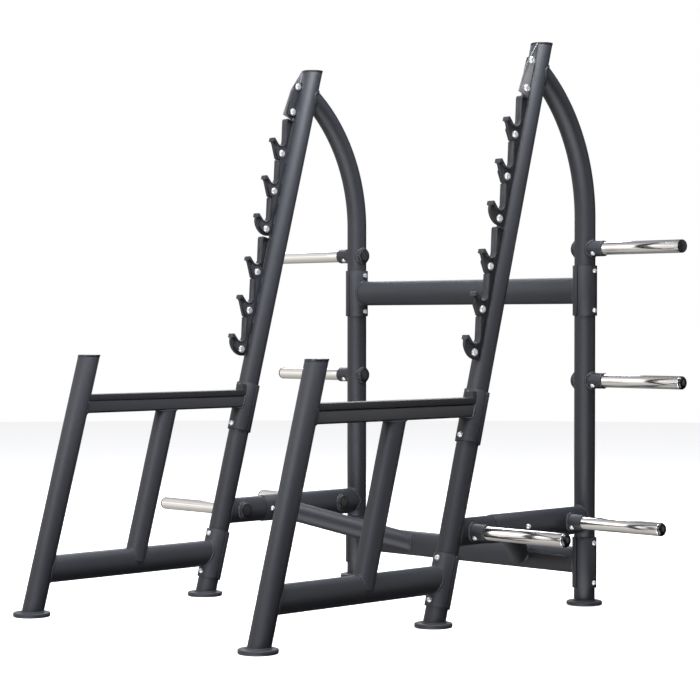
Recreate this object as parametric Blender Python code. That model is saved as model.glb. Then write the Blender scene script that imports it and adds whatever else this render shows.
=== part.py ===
"""A free-standing squat rack, built as separate welded and bolted pieces.

Metres, +Z up. +X is the rack's right side, -Y the front where the lifter stands.
The origin is on the floor, midway between the front and the rear feet.
"""
import math

import bmesh
import bpy
from mathutils import Matrix, Vector

# Clearance that neighbouring pieces keep, and the side counts of round pieces
GAP = 0.0003
TUBE_SIDES = 20
SLEEVE_SIDES = 16
BOLT_SIDES = 6
HEAD_SIDES = 12
SHARP_ANGLE = math.radians(35)

# The frame's layout
HALF_SPACING = 0.5594
LEAN = math.radians(15.62)
FRONT_FLOOR_Y = -0.7725
STRUT_FLOOR_Y = -0.3743
UPRIGHT_FLOOR_Y = -0.0042
REAR_Y = 0.7725
BEND_START_Z = 1.3465
BEND_RADIUS = 0.6005
BEND_STEPS = 8

# The bar hooks' places along the upright, which the upright's top and the spotter rail follow
TOP_HOOK_ALONG = 1.700
HOOK_PITCH = 0.147
HOOKS_EACH = 3
CASTING_BREAK = 0.019
LOWER_CASTING_DROP = HOOKS_EACH * HOOK_PITCH + CASTING_BREAK
LOWEST_HOOK_ALONG = TOP_HOOK_ALONG - LOWER_CASTING_DROP - (HOOKS_EACH - 1) * HOOK_PITCH
UPRIGHT_ABOVE_HOOK = 0.3071
UPRIGHT_TOP_ALONG = TOP_HOOK_ALONG + UPRIGHT_ABOVE_HOOK
UPRIGHT_TOP_Z = UPRIGHT_TOP_ALONG * math.cos(LEAN)
SPOTTER_BELOW_HOOK = 0.2462
SPOTTER_Z = (LOWEST_HOOK_ALONG - SPOTTER_BELOW_HOOK) * math.cos(LEAN)
FRONT_ABOVE_SPOTTER = 0.199
FRONT_TOP_Z = SPOTTER_Z + FRONT_ABOVE_SPOTTER

# Round posts, and the oval tube of the rails and cross members
TUBE_R = 0.0365
TUBE_WALL = 0.003
OVAL_HALF_W = 0.031
OVAL_HALF_H = 0.046
OVAL_WALL = 0.003
SLEEVE_WALL = 0.0022

# Foot plates
FOOT_R = 0.062
FOOT_T = 0.014
FOOT_EDGE = 0.0025

# Heights of the rails and cross members, and the side rail's sliding fit
LOWER_RAIL_Z = 0.152
SIDE_RAIL_Z = 0.298
CROSSBAR_Z = 1.095
CROSS_MEMBER_Z = 0.153
SIDE_SEAM_Y = 0.271
SIDE_INSERT = 0.190

# Spotter rail, its liner and the upstand at the liner's rear end
SPOTTER_HALF_W = 0.0305
SPOTTER_H = 0.043
SPOTTER_WALL = 0.003
LINER_HALF_W = 0.031
LINER_T = 0.020
STOP_RISE = 0.022
STOP_FRONT = 0.0505
STOP_REAR = 0.032
STOP_EDGE = 0.005
STOP_FRONT_EDGE = 0.002

# Diagonal brace and its gusset
BRACE_RAIL_Y = 0.355
BRACE_CROSS_X = 0.2665
GUSSET_T = 0.006
GUSSET_LEG_CROSS = 0.178
GUSSET_LEG_BRACE = 0.105
GUSSET_SAG = 0.018
GUSSET_STEPS = 6

# Half-shell clamps that hold the rails on the posts
CLAMP_T = 0.0057
CLAMP_L = 0.1745
CLAMP_GROOVE = 0.0035
CLAMP_CORNER = 0.008
CLAMP_BOLT_PITCH = 0.138
UPPER_CLAMP_BELOW_HOOK = 0.247
UPPER_CLAMP_ALONG = LOWEST_HOOK_ALONG - UPPER_CLAMP_BELOW_HOOK
LOWER_CLAMP_DROP = 0.0063
LOWER_CLAMP_ALONG = LOWER_RAIL_Z / math.cos(LEAN) - LOWER_CLAMP_DROP
UPPER_CLAMP_Z = CROSSBAR_Z
POST_CLAMP_DROP = 0.005
LOWER_CLAMP_Z = CROSS_MEMBER_Z - POST_CLAMP_DROP

# Bolts, and how deep a head sits in the piece it is joined to
CLAMP_BOLT_R = 0.005
CLAMP_HEAD_R = 0.0095
CLAMP_HEAD_H = 0.006
PLATE_BOLT_R = 0.005
PLATE_HEAD_R = 0.0135
PLATE_HEAD_H = 0.006
BOLT_CLEARANCE = 0.0004
HEAD_SINK = 0.0005
RAIL_BOLT_Y_INNER = 0.298
RAIL_BOLT_Y_OUTER = 0.430
RAIL_BOLT_REACH = 0.004

# Weight horns and their sockets
HORN_R = 0.0225
HORN_WALL = 0.004
HORN_END = 0.412
SOCKET_WALL = 0.0042
SOCKET_OUT = 0.0866
SOCKET_IN = 0.0424
PLUG_T = 0.0095
CAP_DOME = 0.0137
CAP_DOME_ANGLES = [math.radians(degrees) for degrees in (0, 40, 75)]
CAP_PLUG = 0.016
UPPER_HORN_Z = 1.240
LOWER_HORN_Z = 0.782
FRONT_HORN_Y = 0.160
REAR_HORN_Y = 0.660

# One bar hook's shape, and its bolt
CASTING_SET = 0.0004
CASTING_W = 0.0252
FLANGE_T = 0.006
WEB_INNER = 0.0069
WEB_T = 0.011
REAR_CLEAR = 0.004
WALL_OUT = 0.0205
WALL_TOP_OUT = 0.0167
WALL_H = 0.0925
SEAT_R = 0.020
SEAT_RISE = 0.004
SEAT_STEPS = 5
TIP_OUT = 0.073
TIP_T = 0.0095
TIP_FLARE = 0.003
TIP_TOP = 0.033
TIP_HEAD_H = 0.0155
TIP_EDGE = 0.003
STEM_TOP_OUT = 0.080
STEM_TOP_RISE = 0.010
STEM_LOW_OUT = 0.064
STEM_LOW_DROP = 0.045
BELLY_R = 0.061
BELLY_OUT = 0.0265
BELLY_RISE = 0.0115
BELLY_START = math.radians(190)
BELLY_TURN = math.radians(80)
BELLY_STEPS = 4
CROWN_BACK_Z = 0.1005
CROWN_OUT = 0.0045
CROWN_CORNER = 0.012
HOOK_BOLT_OUT = 0.0315
HOOK_BOLT_DROP = 0.0447

# Hook plates behind the castings
PLATE_INNER = 0.0006
PLATE_T = 0.006
PLATE_CLEAR = 0.0012
PLATE_STEM_SET = 0.008
PLATE_STEM_DROP = 0.010
PLATE_TOP_DROP = 0.016

# Guard at the top of the upright: a welded tab and a bolted plate, from the top casting's
# crown to the upright's top
TAB_INNER = 0.005
TAB_T = 0.0085
TAB_END_CLEAR = 0.0611
TAB_TOP = UPRIGHT_TOP_ALONG - TAB_END_CLEAR
TAB_TOP_OUT = 0.031
TAB_TOP_DROP = 0.014
TAB_OUT = 0.0355
TAB_CORNER = 0.010
TAB_ABOVE_GUARD = 0.009
GUARD_T = 0.004
GUARD_ABOVE_TAB = 0.049
GUARD_TOP = TAB_TOP + GUARD_ABOVE_TAB
GUARD_TOP_OUT = 0.002
GUARD_KNEE_DROP = 0.090
GUARD_KNEE_OUT = 0.0378
GUARD_CLEAR = 0.0038
GUARD_CORNER_RISE = 0.0053
GUARD_OUT = 0.0515
GUARD_BOLT_DROP = 0.0215
GUARD_BOLT_RISE = 0.0268
GUARD_BOLT_OUT = 0.0157


def clear_scene():
    """Start from an empty file."""
    for thing in list(bpy.data.objects):
        bpy.data.objects.remove(thing, do_unlink=True)


def material(name, colour, roughness, metallic):
    """A plain surface in the finish of the real piece."""
    found = bpy.data.materials.get(name)
    if found:
        return found
    made = bpy.data.materials.new(name)
    made.use_nodes = True
    shader = made.node_tree.nodes["Principled BSDF"]
    shader.inputs["Base Color"].default_value = (*colour, 1.0)
    shader.inputs["Roughness"].default_value = roughness
    shader.inputs["Metallic"].default_value = metallic
    made.diffuse_color = (*colour, 1.0)
    return made


def powder_coat():
    return material("powder_coat", (0.060, 0.063, 0.070), 0.5, 0.3)


def cast_coat():
    return material("cast_coat", (0.050, 0.052, 0.058), 0.55, 0.3)


def chrome():
    return material("chrome", (0.75, 0.75, 0.76), 0.12, 1.0)


def brushed_steel():
    return material("brushed_steel", (0.52, 0.52, 0.52), 0.35, 1.0)


def black_plastic():
    return material("black_plastic", (0.012, 0.012, 0.013), 0.3, 0.0)


def liner_plastic():
    return material("liner_plastic", (0.030, 0.031, 0.034), 0.55, 0.0)


# Places on the leaning and bent posts

ALONG = Vector((0.0, math.sin(LEAN), math.cos(LEAN)))
BEHIND = Vector((0.0, math.cos(LEAN), -math.sin(LEAN)))
SIDEWAYS = Vector((1.0, 0.0, 0.0))
UP = Vector((0.0, 0.0, 1.0))
REARWARD = Vector((0.0, 1.0, 0.0))
CLAMP_IN_R = TUBE_R + GAP
CLAMP_OUT_R = CLAMP_IN_R + CLAMP_T
SOCKET_IN_R = HORN_R + GAP
SOCKET_OUT_R = SOCKET_IN_R + SOCKET_WALL
SLEEVE_IN_W = OVAL_HALF_W + GAP
SLEEVE_IN_H = OVAL_HALF_H + GAP
SLEEVE_OUT_W = SLEEVE_IN_W + SLEEVE_WALL
SLEEVE_OUT_H = SLEEVE_IN_H + SLEEVE_WALL


def lean_point(floor_y, z):
    """The point at height z on a leaning post's axis."""
    return Vector((HALF_SPACING, floor_y + math.tan(LEAN) * z, z))


def upright_point(along, behind=0.0):
    """A point given by its distance along the upright and behind its axis."""
    foot = Vector((HALF_SPACING, UPRIGHT_FLOOR_Y, 0.0))
    return foot + ALONG * along + BEHIND * behind


def post_point(z):
    """A point on the rear post's vertical axis."""
    return Vector((HALF_SPACING, REAR_Y, z))


# Mesh tools

def ring(centre, across, up, half_w, half_h, sides):
    """Points round an ellipse, starting at the across direction."""
    angles = [2 * math.pi * i / sides for i in range(sides)]
    return [centre + across * (half_w * math.cos(a)) + up * (half_h * math.sin(a)) for a in angles]


def slide_to_plane(points, direction, plane_point, plane_normal):
    """Move points along a direction until they lie on a plane."""
    return [p + direction * ((plane_point - p).dot(plane_normal) / direction.dot(plane_normal))
            for p in points]


def join_rings(mesh, rings, close_ends):
    """Skin successive rings with quads, and close the ends if asked."""
    loops = [[mesh.verts.new(p) for p in points] for points in rings]
    for first, second in zip(loops, loops[1:]):
        for i in range(len(first)):
            j = (i + 1) % len(first)
            mesh.faces.new((first[i], first[j], second[j], second[i]))
    if close_ends:
        mesh.faces.new(loops[0][::-1])
        mesh.faces.new(loops[-1])
    return loops


def bar(mesh, rings):
    """A solid bar through the rings."""
    join_rings(mesh, rings, True)


def pipe(mesh, outer, inner):
    """A pipe with open ends, from its outer and inner rings."""
    outside = join_rings(mesh, outer, False)
    inside = join_rings(mesh, inner, False)
    for end in (0, -1):
        for i in range(len(outside[end])):
            j = (i + 1) % len(outside[end])
            mesh.faces.new((outside[end][i], outside[end][j], inside[end][j], inside[end][i]))


def straight_pipe(mesh, start, end, across, half_w, half_h, wall, sides,
                  start_normal=None, end_normal=None):
    """A straight round or oval pipe whose ends lie on planes."""
    axis = (end - start).normalized()
    up = axis.cross(across).normalized()
    rings = []
    for less in (0.0, wall):
        pair_of_rings = []
        for point, normal in ((start, start_normal), (end, end_normal)):
            points = ring(point, across, up, half_w - less, half_h - less, sides)
            if normal is not None:
                points = slide_to_plane(points, axis, point, normal)
            pair_of_rings.append(points)
        rings.append(pair_of_rings)
    pipe(mesh, rings[0], rings[1])


def straight_bar(mesh, start, end, across, half_w, half_h, sides):
    """A straight round or oval solid."""
    axis = (end - start).normalized()
    up = axis.cross(across).normalized()
    bar(mesh, [ring(p, across, up, half_w, half_h, sides) for p in (start, end)])


def side_vector(axis):
    """A level direction across an axis that lies along X or in the upright's plane."""
    return SIDEWAYS if abs(axis.x) < abs(axis.y) + abs(axis.z) else REARWARD


def rod(mesh, start, end, radius, sides):
    """A round solid between two points."""
    axis = (end - start).normalized()
    across = side_vector(axis)
    across = (across - axis * across.dot(axis)).normalized()
    straight_bar(mesh, start, end, across, radius, radius, sides)


def prism(mesh, outline, low_x, high_x):
    """Extrude a (y, z) outline between two places on X."""
    bar(mesh, [[Vector((x, y, z)) for y, z in outline] for x in (low_x, high_x)])


# Objects

def make_object(name, mesh, surface):
    """Turn mesh data into an object with outward faces and smooth round sides."""
    bmesh.ops.recalc_face_normals(mesh, faces=mesh.faces[:])
    data = bpy.data.meshes.new(name)
    mesh.to_mesh(data)
    data.shade_smooth()
    data.set_sharp_from_angle(angle=SHARP_ANGLE)
    if surface is not None:
        data.materials.append(surface)
    made = bpy.data.objects.new(name, data)
    bpy.context.scene.collection.objects.link(made)
    return made


def make_pair(name, mesh, surface):
    """The right-hand piece and its mirror image on the left."""
    right = make_object(name + "_right", mesh, surface)
    mirrored = mesh.copy()
    bmesh.ops.transform(mirrored, matrix=Matrix.Scale(-1, 4, SIDEWAYS), verts=mirrored.verts[:])
    left = make_object(name + "_left", mirrored, surface)
    mirrored.free()
    mesh.free()
    return right, left


def tool_pair(name, mesh):
    """A hidden shape for each side, which is cut out of pieces or joined to them."""
    pair = make_pair("tool_" + name, mesh, None)
    for tool in pair:
        tool.hide_render = True
        tool.display_type = "WIRE"
    return pair


def combine(things, tools, operation):
    """Give each thing the Boolean with the tool on its own side."""
    for thing, tool in zip(things, tools):
        modifier = thing.modifiers.new(operation.lower() + " " + tool.name, "BOOLEAN")
        modifier.operation = operation
        modifier.solver = "EXACT"
        modifier.object = tool


def cut(things, tools):
    combine(things, tools, "DIFFERENCE")


def join(things, tools):
    combine(things, tools, "UNION")


# Shapes that several pieces are cut by

def leaning_tool(name, floor_y, radius, low_z, high_z):
    """A leaning cylinder that copes whatever meets a leaning post."""
    mesh = bmesh.new()
    straight_bar(mesh, lean_point(floor_y, low_z), lean_point(floor_y, high_z),
                 SIDEWAYS, radius, radius, TUBE_SIDES)
    return tool_pair(name, mesh)


def vertical_tool(name, radius, low_z, high_z):
    """An upright cylinder on the rear post's axis."""
    mesh = bmesh.new()
    straight_bar(mesh, post_point(low_z), post_point(high_z), SIDEWAYS, radius, radius, TUBE_SIDES)
    return tool_pair(name, mesh)


def oval_tool(name, start, end, across, half_w, half_h):
    """An oval solid that copes whatever meets an oval rail."""
    mesh = bmesh.new()
    straight_bar(mesh, start, end, across, half_w, half_h, TUBE_SIDES)
    return tool_pair(name, mesh)


# Clamps and their bolts

def clamp_bolt_places(centre, axis):
    """The middles of a clamp's two bolts."""
    half_pitch = CLAMP_BOLT_PITCH / 2
    return [centre + axis * half_pitch, centre - axis * half_pitch]


def clamp_layout():
    """Each clamp's name, centre, post axis and bolt direction."""
    return [("clamp_upright_upper", upright_point(UPPER_CLAMP_ALONG), ALONG, -BEHIND),
            ("clamp_upright_lower", upright_point(LOWER_CLAMP_ALONG), ALONG, -BEHIND),
            ("clamp_post_upper", post_point(UPPER_CLAMP_Z), UP, SIDEWAYS),
            ("clamp_post_lower", post_point(LOWER_CLAMP_Z), UP, SIDEWAYS)]


def clamp_hole_tools():
    """Holes through the posts for the clamps' bolts."""
    mesh = bmesh.new()
    for _, centre, axis, facing in clamp_layout():
        for middle in clamp_bolt_places(centre, axis):
            rod(mesh, middle - facing * CLAMP_OUT_R, middle + facing * CLAMP_OUT_R,
                CLAMP_BOLT_R + BOLT_CLEARANCE, BOLT_SIDES)
    return tool_pair("clamp_holes", mesh)


def clamp_head_tool():
    """Room for the head of the upper clamp's top bolt, which the liner's stop covers."""
    mesh = bmesh.new()
    _, centre, axis, facing = clamp_layout()[0]
    middle = clamp_bolt_places(centre, axis)[0]
    rod(mesh, middle, middle + facing * (CLAMP_OUT_R + CLAMP_HEAD_H + BOLT_CLEARANCE),
        CLAMP_HEAD_R + BOLT_CLEARANCE, BOLT_SIDES)
    return tool_pair("clamp_head", mesh)


def half_shell(mesh, centre, axis, facing):
    """One half of a clamp round a post, with its corners cut off."""
    sideways = axis.cross(facing).normalized()
    edge = math.pi / 2 - math.asin(CLAMP_GROOVE / 2 / CLAMP_OUT_R)
    side = 2 * math.pi / TUBE_SIDES
    steps = TUBE_SIDES // 4 - 1
    angles = [-edge] + [side * i for i in range(-steps, steps + 1)] + [edge]
    share = CLAMP_CORNER / (2 * CLAMP_OUT_R * math.sin((edge - side * steps) / 2))
    half = CLAMP_L / 2
    loops = []
    for radius in (CLAMP_IN_R, CLAMP_OUT_R):
        row = [centre + (facing * math.cos(a) + sideways * math.sin(a)) * radius for a in angles]
        end_row = [row[0].lerp(row[1], share)] + row[1:-1] + [row[-1].lerp(row[-2], share)]
        low = [mesh.verts.new(p - axis * half) for p in end_row]
        high = [mesh.verts.new(p + axis * half) for p in end_row]
        shifts = (CLAMP_CORNER - half, half - CLAMP_CORNER)
        sides = [[mesh.verts.new(p + axis * shift) for shift in shifts] for p in (row[0], row[-1])]
        for i in range(1, len(low) - 2):
            mesh.faces.new((low[i], low[i + 1], high[i + 1], high[i]))
        mesh.faces.new((low[1], low[0], *sides[0], high[0], high[1]))
        mesh.faces.new((low[-2], low[-1], *sides[1], high[-1], high[-2]))
        loops.append(low + sides[1] + high[::-1] + sides[0][::-1])
    inside, outside = loops
    for i in range(len(inside)):
        j = (i + 1) % len(inside)
        mesh.faces.new((inside[i], inside[j], outside[j], outside[i]))


def bolt_and_nut(mesh, head_seat, nut_seat, radius, head_r, head_h, sides):
    """A bolt through a stack, from its head's top to its nut's far face, as one solid."""
    axis = (head_seat - nut_seat).normalized()
    across = side_vector(axis)
    up = axis.cross(across)
    rings = ((head_r, head_seat + axis * head_h), (head_r, head_seat), (radius, head_seat),
             (radius, nut_seat), (head_r, nut_seat), (head_r, nut_seat - axis * head_h))
    bar(mesh, [ring(place, across, up, r, r, sides) for r, place in rings])


def clamps():
    """Two half shells round a post, held by two bolts with nuts."""
    for name, centre, axis, facing in clamp_layout():
        shells = bmesh.new()
        half_shell(shells, centre, axis, facing)
        half_shell(shells, centre, axis, -facing)
        things = make_pair(name, shells, powder_coat())
        bolts = bmesh.new()
        # Flat heads on a round shell start where the shell's curve is wider than the head
        seat = math.sqrt(CLAMP_OUT_R ** 2 - CLAMP_HEAD_R ** 2) - HEAD_SINK
        for middle in clamp_bolt_places(centre, axis):
            bolt_and_nut(bolts, middle + facing * seat, middle - facing * seat,
                         CLAMP_BOLT_R, CLAMP_HEAD_R, CLAMP_OUT_R - seat + CLAMP_HEAD_H, BOLT_SIDES)
        join(things, tool_pair(name + "_bolts", bolts))


# Sockets of the weight horns

def x_rings(centre, sizes):
    """Rings round a line along X: pairs of radius and distance from the centre."""
    return [ring(centre + SIDEWAYS * x, REARWARD, UP, r, r, SLEEVE_SIDES) for r, x in sizes]


def horn_layout():
    """Each horn's name and the middle of its socket, on the post's or the side rail's axis."""
    return [("upper", post_point(UPPER_HORN_Z)), ("lower", post_point(LOWER_HORN_Z)),
            ("front", Vector((HALF_SPACING, FRONT_HORN_Y, SIDE_RAIL_Z))),
            ("rear", Vector((HALF_SPACING, REAR_HORN_Y, SIDE_RAIL_Z)))]


def plug_face():
    """Where the closed inner end of a socket begins."""
    return PLUG_T - SOCKET_IN


def add_sockets(things, name, centres):
    """Weld sockets through a post or a rail: bored from outside, closed at the inner end."""
    solid = bmesh.new()
    bore = bmesh.new()
    for centre in centres:
        bar(solid, x_rings(centre, [(SOCKET_OUT_R, -SOCKET_IN), (SOCKET_OUT_R, SOCKET_OUT)]))
        bar(bore, x_rings(centre, [(SOCKET_IN_R, plug_face()), (SOCKET_IN_R, SOCKET_OUT + HEAD_SINK)]))
    join(things, tool_pair(name + "_sockets", solid))
    cut(things, tool_pair(name + "_bores", bore))


# Posts

def bend_end_angle():
    """How far the rear post bends before its axis meets the upright's axis."""
    centre = Vector((HALF_SPACING, REAR_Y - BEND_RADIUS, BEND_START_Z))
    behind = (centre - upright_point(0.0)).dot(BEHIND)
    return math.acos(-behind / BEND_RADIUS) - LEAN


def add_foot(things, name, foot):
    """Weld a round plate with rounded rims under a post."""
    mesh = bmesh.new()
    profile = ((FOOT_R - FOOT_EDGE, 0.0), (FOOT_R, FOOT_EDGE), (FOOT_R, FOOT_T - FOOT_EDGE),
               (FOOT_R - FOOT_EDGE, FOOT_T))
    bar(mesh, [ring(foot + UP * z, SIDEWAYS, REARWARD, r, r, TUBE_SIDES) for r, z in profile])
    join(things, tool_pair(name + "_foot", mesh))


def leaning_post(name, floor_y, top_z):
    """A leaning round tube on its foot plate."""
    mesh = bmesh.new()
    start = lean_point(floor_y, FOOT_T / 2)
    straight_pipe(mesh, start, lean_point(floor_y, top_z), SIDEWAYS, TUBE_R, TUBE_R,
                  TUBE_WALL, TUBE_SIDES, UP, UP)
    things = make_pair(name, mesh, powder_coat())
    add_foot(things, name, lean_point(floor_y, 0.0))
    return things


def rear_post():
    """A tube on its foot plate that rises vertically and then bends forward to the upright."""
    mesh = bmesh.new()
    centre = Vector((HALF_SPACING, REAR_Y - BEND_RADIUS, BEND_START_Z))
    places = [(post_point(FOOT_T / 2), REARWARD)]
    last = bend_end_angle()
    for step in range(BEND_STEPS + 1):
        angle = last * step / BEND_STEPS
        outward = Vector((0.0, math.cos(angle), math.sin(angle)))
        places.append((centre + outward * BEND_RADIUS, outward))
    walls = []
    for radius in (TUBE_R, TUBE_R - TUBE_WALL):
        walls.append([ring(p, SIDEWAYS, out, radius, radius, TUBE_SIDES) for p, out in places])
    pipe(mesh, walls[0], walls[1])
    things = make_pair("rear_post", mesh, powder_coat())
    add_foot(things, "rear_post", post_point(0.0))
    return things


# Rails and braces

def lower_rail():
    mesh = bmesh.new()
    straight_pipe(mesh, lean_point(FRONT_FLOOR_Y, LOWER_RAIL_Z), lean_point(UPRIGHT_FLOOR_Y, LOWER_RAIL_Z),
                  SIDEWAYS, OVAL_HALF_W, OVAL_HALF_H, OVAL_WALL, TUBE_SIDES)
    return make_pair("lower_rail", mesh, powder_coat())


def box_section(centre_x, half_w, low_z, high_z):
    """Corners of a rectangle on X and Z."""
    return [(centre_x - half_w, low_z), (centre_x + half_w, low_z),
            (centre_x + half_w, high_z), (centre_x - half_w, high_z)]


def spotter_rail():
    """A rectangular tube from the front post to the upper clamp."""
    mesh = bmesh.new()
    middle_z = SPOTTER_Z + SPOTTER_H / 2
    ends = (lean_point(FRONT_FLOOR_Y, middle_z).y, lean_point(UPRIGHT_FLOOR_Y, middle_z).y)
    walls = []
    for less in (0.0, SPOTTER_WALL):
        corners = box_section(HALF_SPACING, SPOTTER_HALF_W - less, SPOTTER_Z + less,
                              SPOTTER_Z + SPOTTER_H - less)
        walls.append([[Vector((x, y, z)) for x, z in corners] for y in ends])
    pipe(mesh, walls[0], walls[1])
    return make_pair("spotter_rail", mesh, powder_coat())


def spotter_liner():
    """The plastic strip that a bar lands on, with an upstand that straddles the clamp."""
    mesh = bmesh.new()
    low_z = SPOTTER_Z + SPOTTER_H + GAP
    top_z = low_z + LINER_T
    crown_z = top_z + STOP_RISE
    front = lean_point(FRONT_FLOOR_Y, low_z).y
    axis_y = lean_point(UPRIGHT_FLOOR_Y, top_z).y
    stop, rear = axis_y - STOP_FRONT, axis_y - STOP_REAR
    outline = [(front, low_z), (rear, low_z), (rear, crown_z - STOP_EDGE),
               (rear - STOP_EDGE, crown_z), (stop + STOP_FRONT_EDGE, crown_z),
               (stop, crown_z - STOP_FRONT_EDGE), (stop, top_z), (front, top_z)]
    prism(mesh, outline, HALF_SPACING - LINER_HALF_W, HALF_SPACING + LINER_HALF_W)
    return make_pair("spotter_liner", mesh, liner_plastic())


def spotter_strut():
    mesh = bmesh.new()
    straight_pipe(mesh, lean_point(STRUT_FLOOR_Y, LOWER_RAIL_Z), lean_point(STRUT_FLOOR_Y, SPOTTER_Z - GAP),
                  SIDEWAYS, TUBE_R, TUBE_R, TUBE_WALL, TUBE_SIDES, UP, UP)
    return make_pair("spotter_strut", mesh, powder_coat())


def side_rail_front():
    """The oval tube welded to the upright, which slides into the rear part."""
    mesh = bmesh.new()
    start = lean_point(UPRIGHT_FLOOR_Y, SIDE_RAIL_Z)
    end = Vector((HALF_SPACING, SIDE_SEAM_Y + SIDE_INSERT, SIDE_RAIL_Z))
    straight_pipe(mesh, start, end, SIDEWAYS, OVAL_HALF_W, OVAL_HALF_H, OVAL_WALL, TUBE_SIDES)
    return make_pair("side_rail_front", mesh, powder_coat())


def side_rail_rear():
    """The larger oval tube from the seam to the rear post."""
    mesh = bmesh.new()
    start = Vector((HALF_SPACING, SIDE_SEAM_Y, SIDE_RAIL_Z))
    end = post_point(SIDE_RAIL_Z)
    straight_pipe(mesh, start, end, SIDEWAYS, SLEEVE_OUT_W, SLEEVE_OUT_H, SLEEVE_WALL, TUBE_SIDES)
    return make_pair("side_rail_rear", mesh, powder_coat())


def brace_ends():
    """The brace's axis, from the side rail's axis to the cross member's axis."""
    return (Vector((HALF_SPACING, BRACE_RAIL_Y, SIDE_RAIL_Z)),
            Vector((BRACE_CROSS_X, REAR_Y, CROSS_MEMBER_Z)))


def diagonal_brace():
    mesh = bmesh.new()
    start, end = brace_ends()
    across = UP.cross(end - start).normalized()
    straight_pipe(mesh, start, end, across, TUBE_R, TUBE_R, TUBE_WALL, TUBE_SIDES)
    return make_pair("diagonal_brace", mesh, powder_coat())


def corner_gusset():
    """A plate in the corner between the brace and the cross member, with a hollow free edge."""
    mesh = bmesh.new()
    start, end = brace_ends()
    along_brace = (start - end).normalized()
    normal = along_brace.cross(SIDEWAYS).normalized()
    out_of_brace = normal.cross(along_brace).normalized()
    if out_of_brace.x < 0:
        out_of_brace = -out_of_brace
    to_front = SIDEWAYS.cross(normal).normalized()
    if to_front.y > 0:
        to_front = -to_front
    # The corner where the brace's side line crosses the cross member's front line
    side_line = end + out_of_brace * (TUBE_R + 2 * GAP)
    front_line = end + to_front * ((OVAL_HALF_W + 2 * GAP) / abs(to_front.y))
    reach = (front_line - side_line).dot(to_front) / along_brace.dot(to_front)
    corner = side_line + along_brace * reach
    on_cross = corner + SIDEWAYS * GUSSET_LEG_CROSS
    on_brace = corner + along_brace * GUSSET_LEG_BRACE
    middle = (on_cross + on_brace) / 2
    inward = (corner - middle).normalized()
    free_edge = []
    for step in range(GUSSET_STEPS + 1):
        share = step / GUSSET_STEPS
        sag = GUSSET_SAG * math.sin(math.pi * share)
        free_edge.append(on_cross.lerp(on_brace, share) + inward * sag)
    outline = [corner] + free_edge
    bar(mesh, [[p + normal * shift for p in outline] for shift in (-GUSSET_T / 2, GUSSET_T / 2)])
    return make_pair("corner_gusset", mesh, powder_coat())


def cross_tube(name, z):
    """An oval tube between the two rear posts."""
    mesh = bmesh.new()
    start = Vector((-HALF_SPACING, REAR_Y, z))
    end = Vector((HALF_SPACING, REAR_Y, z))
    straight_pipe(mesh, start, end, REARWARD, OVAL_HALF_W, OVAL_HALF_H, OVAL_WALL, TUBE_SIDES)
    made = make_object(name, mesh, powder_coat())
    mesh.free()
    return made


# Side rail bolts

def rail_bolt_places():
    """Side rail bolts: the seat on the outer tube and the outward direction."""
    places = []
    for y, outward in ((RAIL_BOLT_Y_INNER, -SIDEWAYS), (RAIL_BOLT_Y_OUTER, SIDEWAYS)):
        places.append((Vector((HALF_SPACING, y, SIDE_RAIL_Z)) + outward * SLEEVE_OUT_W, outward))
    return places


def rail_hole_tools():
    """Holes in the inner tube for the side rail bolts."""
    mesh = bmesh.new()
    depth = SLEEVE_WALL + OVAL_WALL + RAIL_BOLT_REACH
    for seat, outward in rail_bolt_places():
        rod(mesh, seat, seat - outward * depth, CLAMP_BOLT_R + BOLT_CLEARANCE, BOLT_SIDES)
    return tool_pair("rail_holes", mesh)


def add_rail_bolts(things):
    """Bolts that lock the side rail's two parts together."""
    mesh = bmesh.new()
    depth = SLEEVE_WALL + OVAL_WALL + RAIL_BOLT_REACH
    # A flat head reaches down to the oval tube's narrower height at the head's rim
    rim = 1 - math.sqrt(1 - (CLAMP_HEAD_R / SLEEVE_OUT_H) ** 2)
    sink = SLEEVE_OUT_W * rim + HEAD_SINK
    for seat, outward in rail_bolt_places():
        across = side_vector(outward)
        up = outward.cross(across)
        rings = ((CLAMP_HEAD_R, seat + outward * CLAMP_HEAD_H), (CLAMP_HEAD_R, seat - outward * sink),
                 (CLAMP_BOLT_R, seat - outward * sink), (CLAMP_BOLT_R, seat - outward * depth))
        bar(mesh, [ring(place, across, up, r, r, BOLT_SIDES) for r, place in rings])
    join(things, tool_pair("rail_bolts", mesh))


# Weight horns

def weight_horns():
    """Chrome tubes in the sockets, with domed caps in their outer ends."""
    hole_r = HORN_R - HORN_WALL
    for place, centre in horn_layout():
        tube = bmesh.new()
        ends = (plug_face() + GAP, HORN_END)
        pipe(tube, x_rings(centre, [(HORN_R, x) for x in ends]),
             x_rings(centre, [(hole_r, x) for x in ends]))
        make_pair("horn_" + place, tube, chrome())
        sizes = [(hole_r - GAP, HORN_END - CAP_PLUG), (hole_r - GAP, HORN_END + GAP)]
        for angle in CAP_DOME_ANGLES:
            sizes.append((HORN_R * math.cos(angle), HORN_END + GAP + CAP_DOME * math.sin(angle)))
        cap = bmesh.new()
        bar(cap, x_rings(centre, sizes))
        make_pair("horn_cap_" + place, cap, black_plastic())


# Bar hooks

def hook_places(first):
    """Where each of a casting's hooks lies along the upright."""
    return [first - HOOK_PITCH * i for i in range(HOOKS_EACH)]


def hook_layout():
    """Each casting's name and its hooks."""
    return [("upper", hook_places(TOP_HOOK_ALONG)),
            ("lower", hook_places(TOP_HOOK_ALONG - LOWER_CASTING_DROP))]


def local_to_world(along, points):
    """Turn (y, z) points measured from the upright's axis at a hook into world (y, z)."""
    origin = upright_point(along)
    return [(origin.y + y, origin.z + z) for y, z in points]


def rear_y(z, clear):
    """How far back a hook piece reaches at a height, in a hook's own frame."""
    return (-(TUBE_R + clear) + z * math.sin(LEAN)) / math.cos(LEAN)


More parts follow.
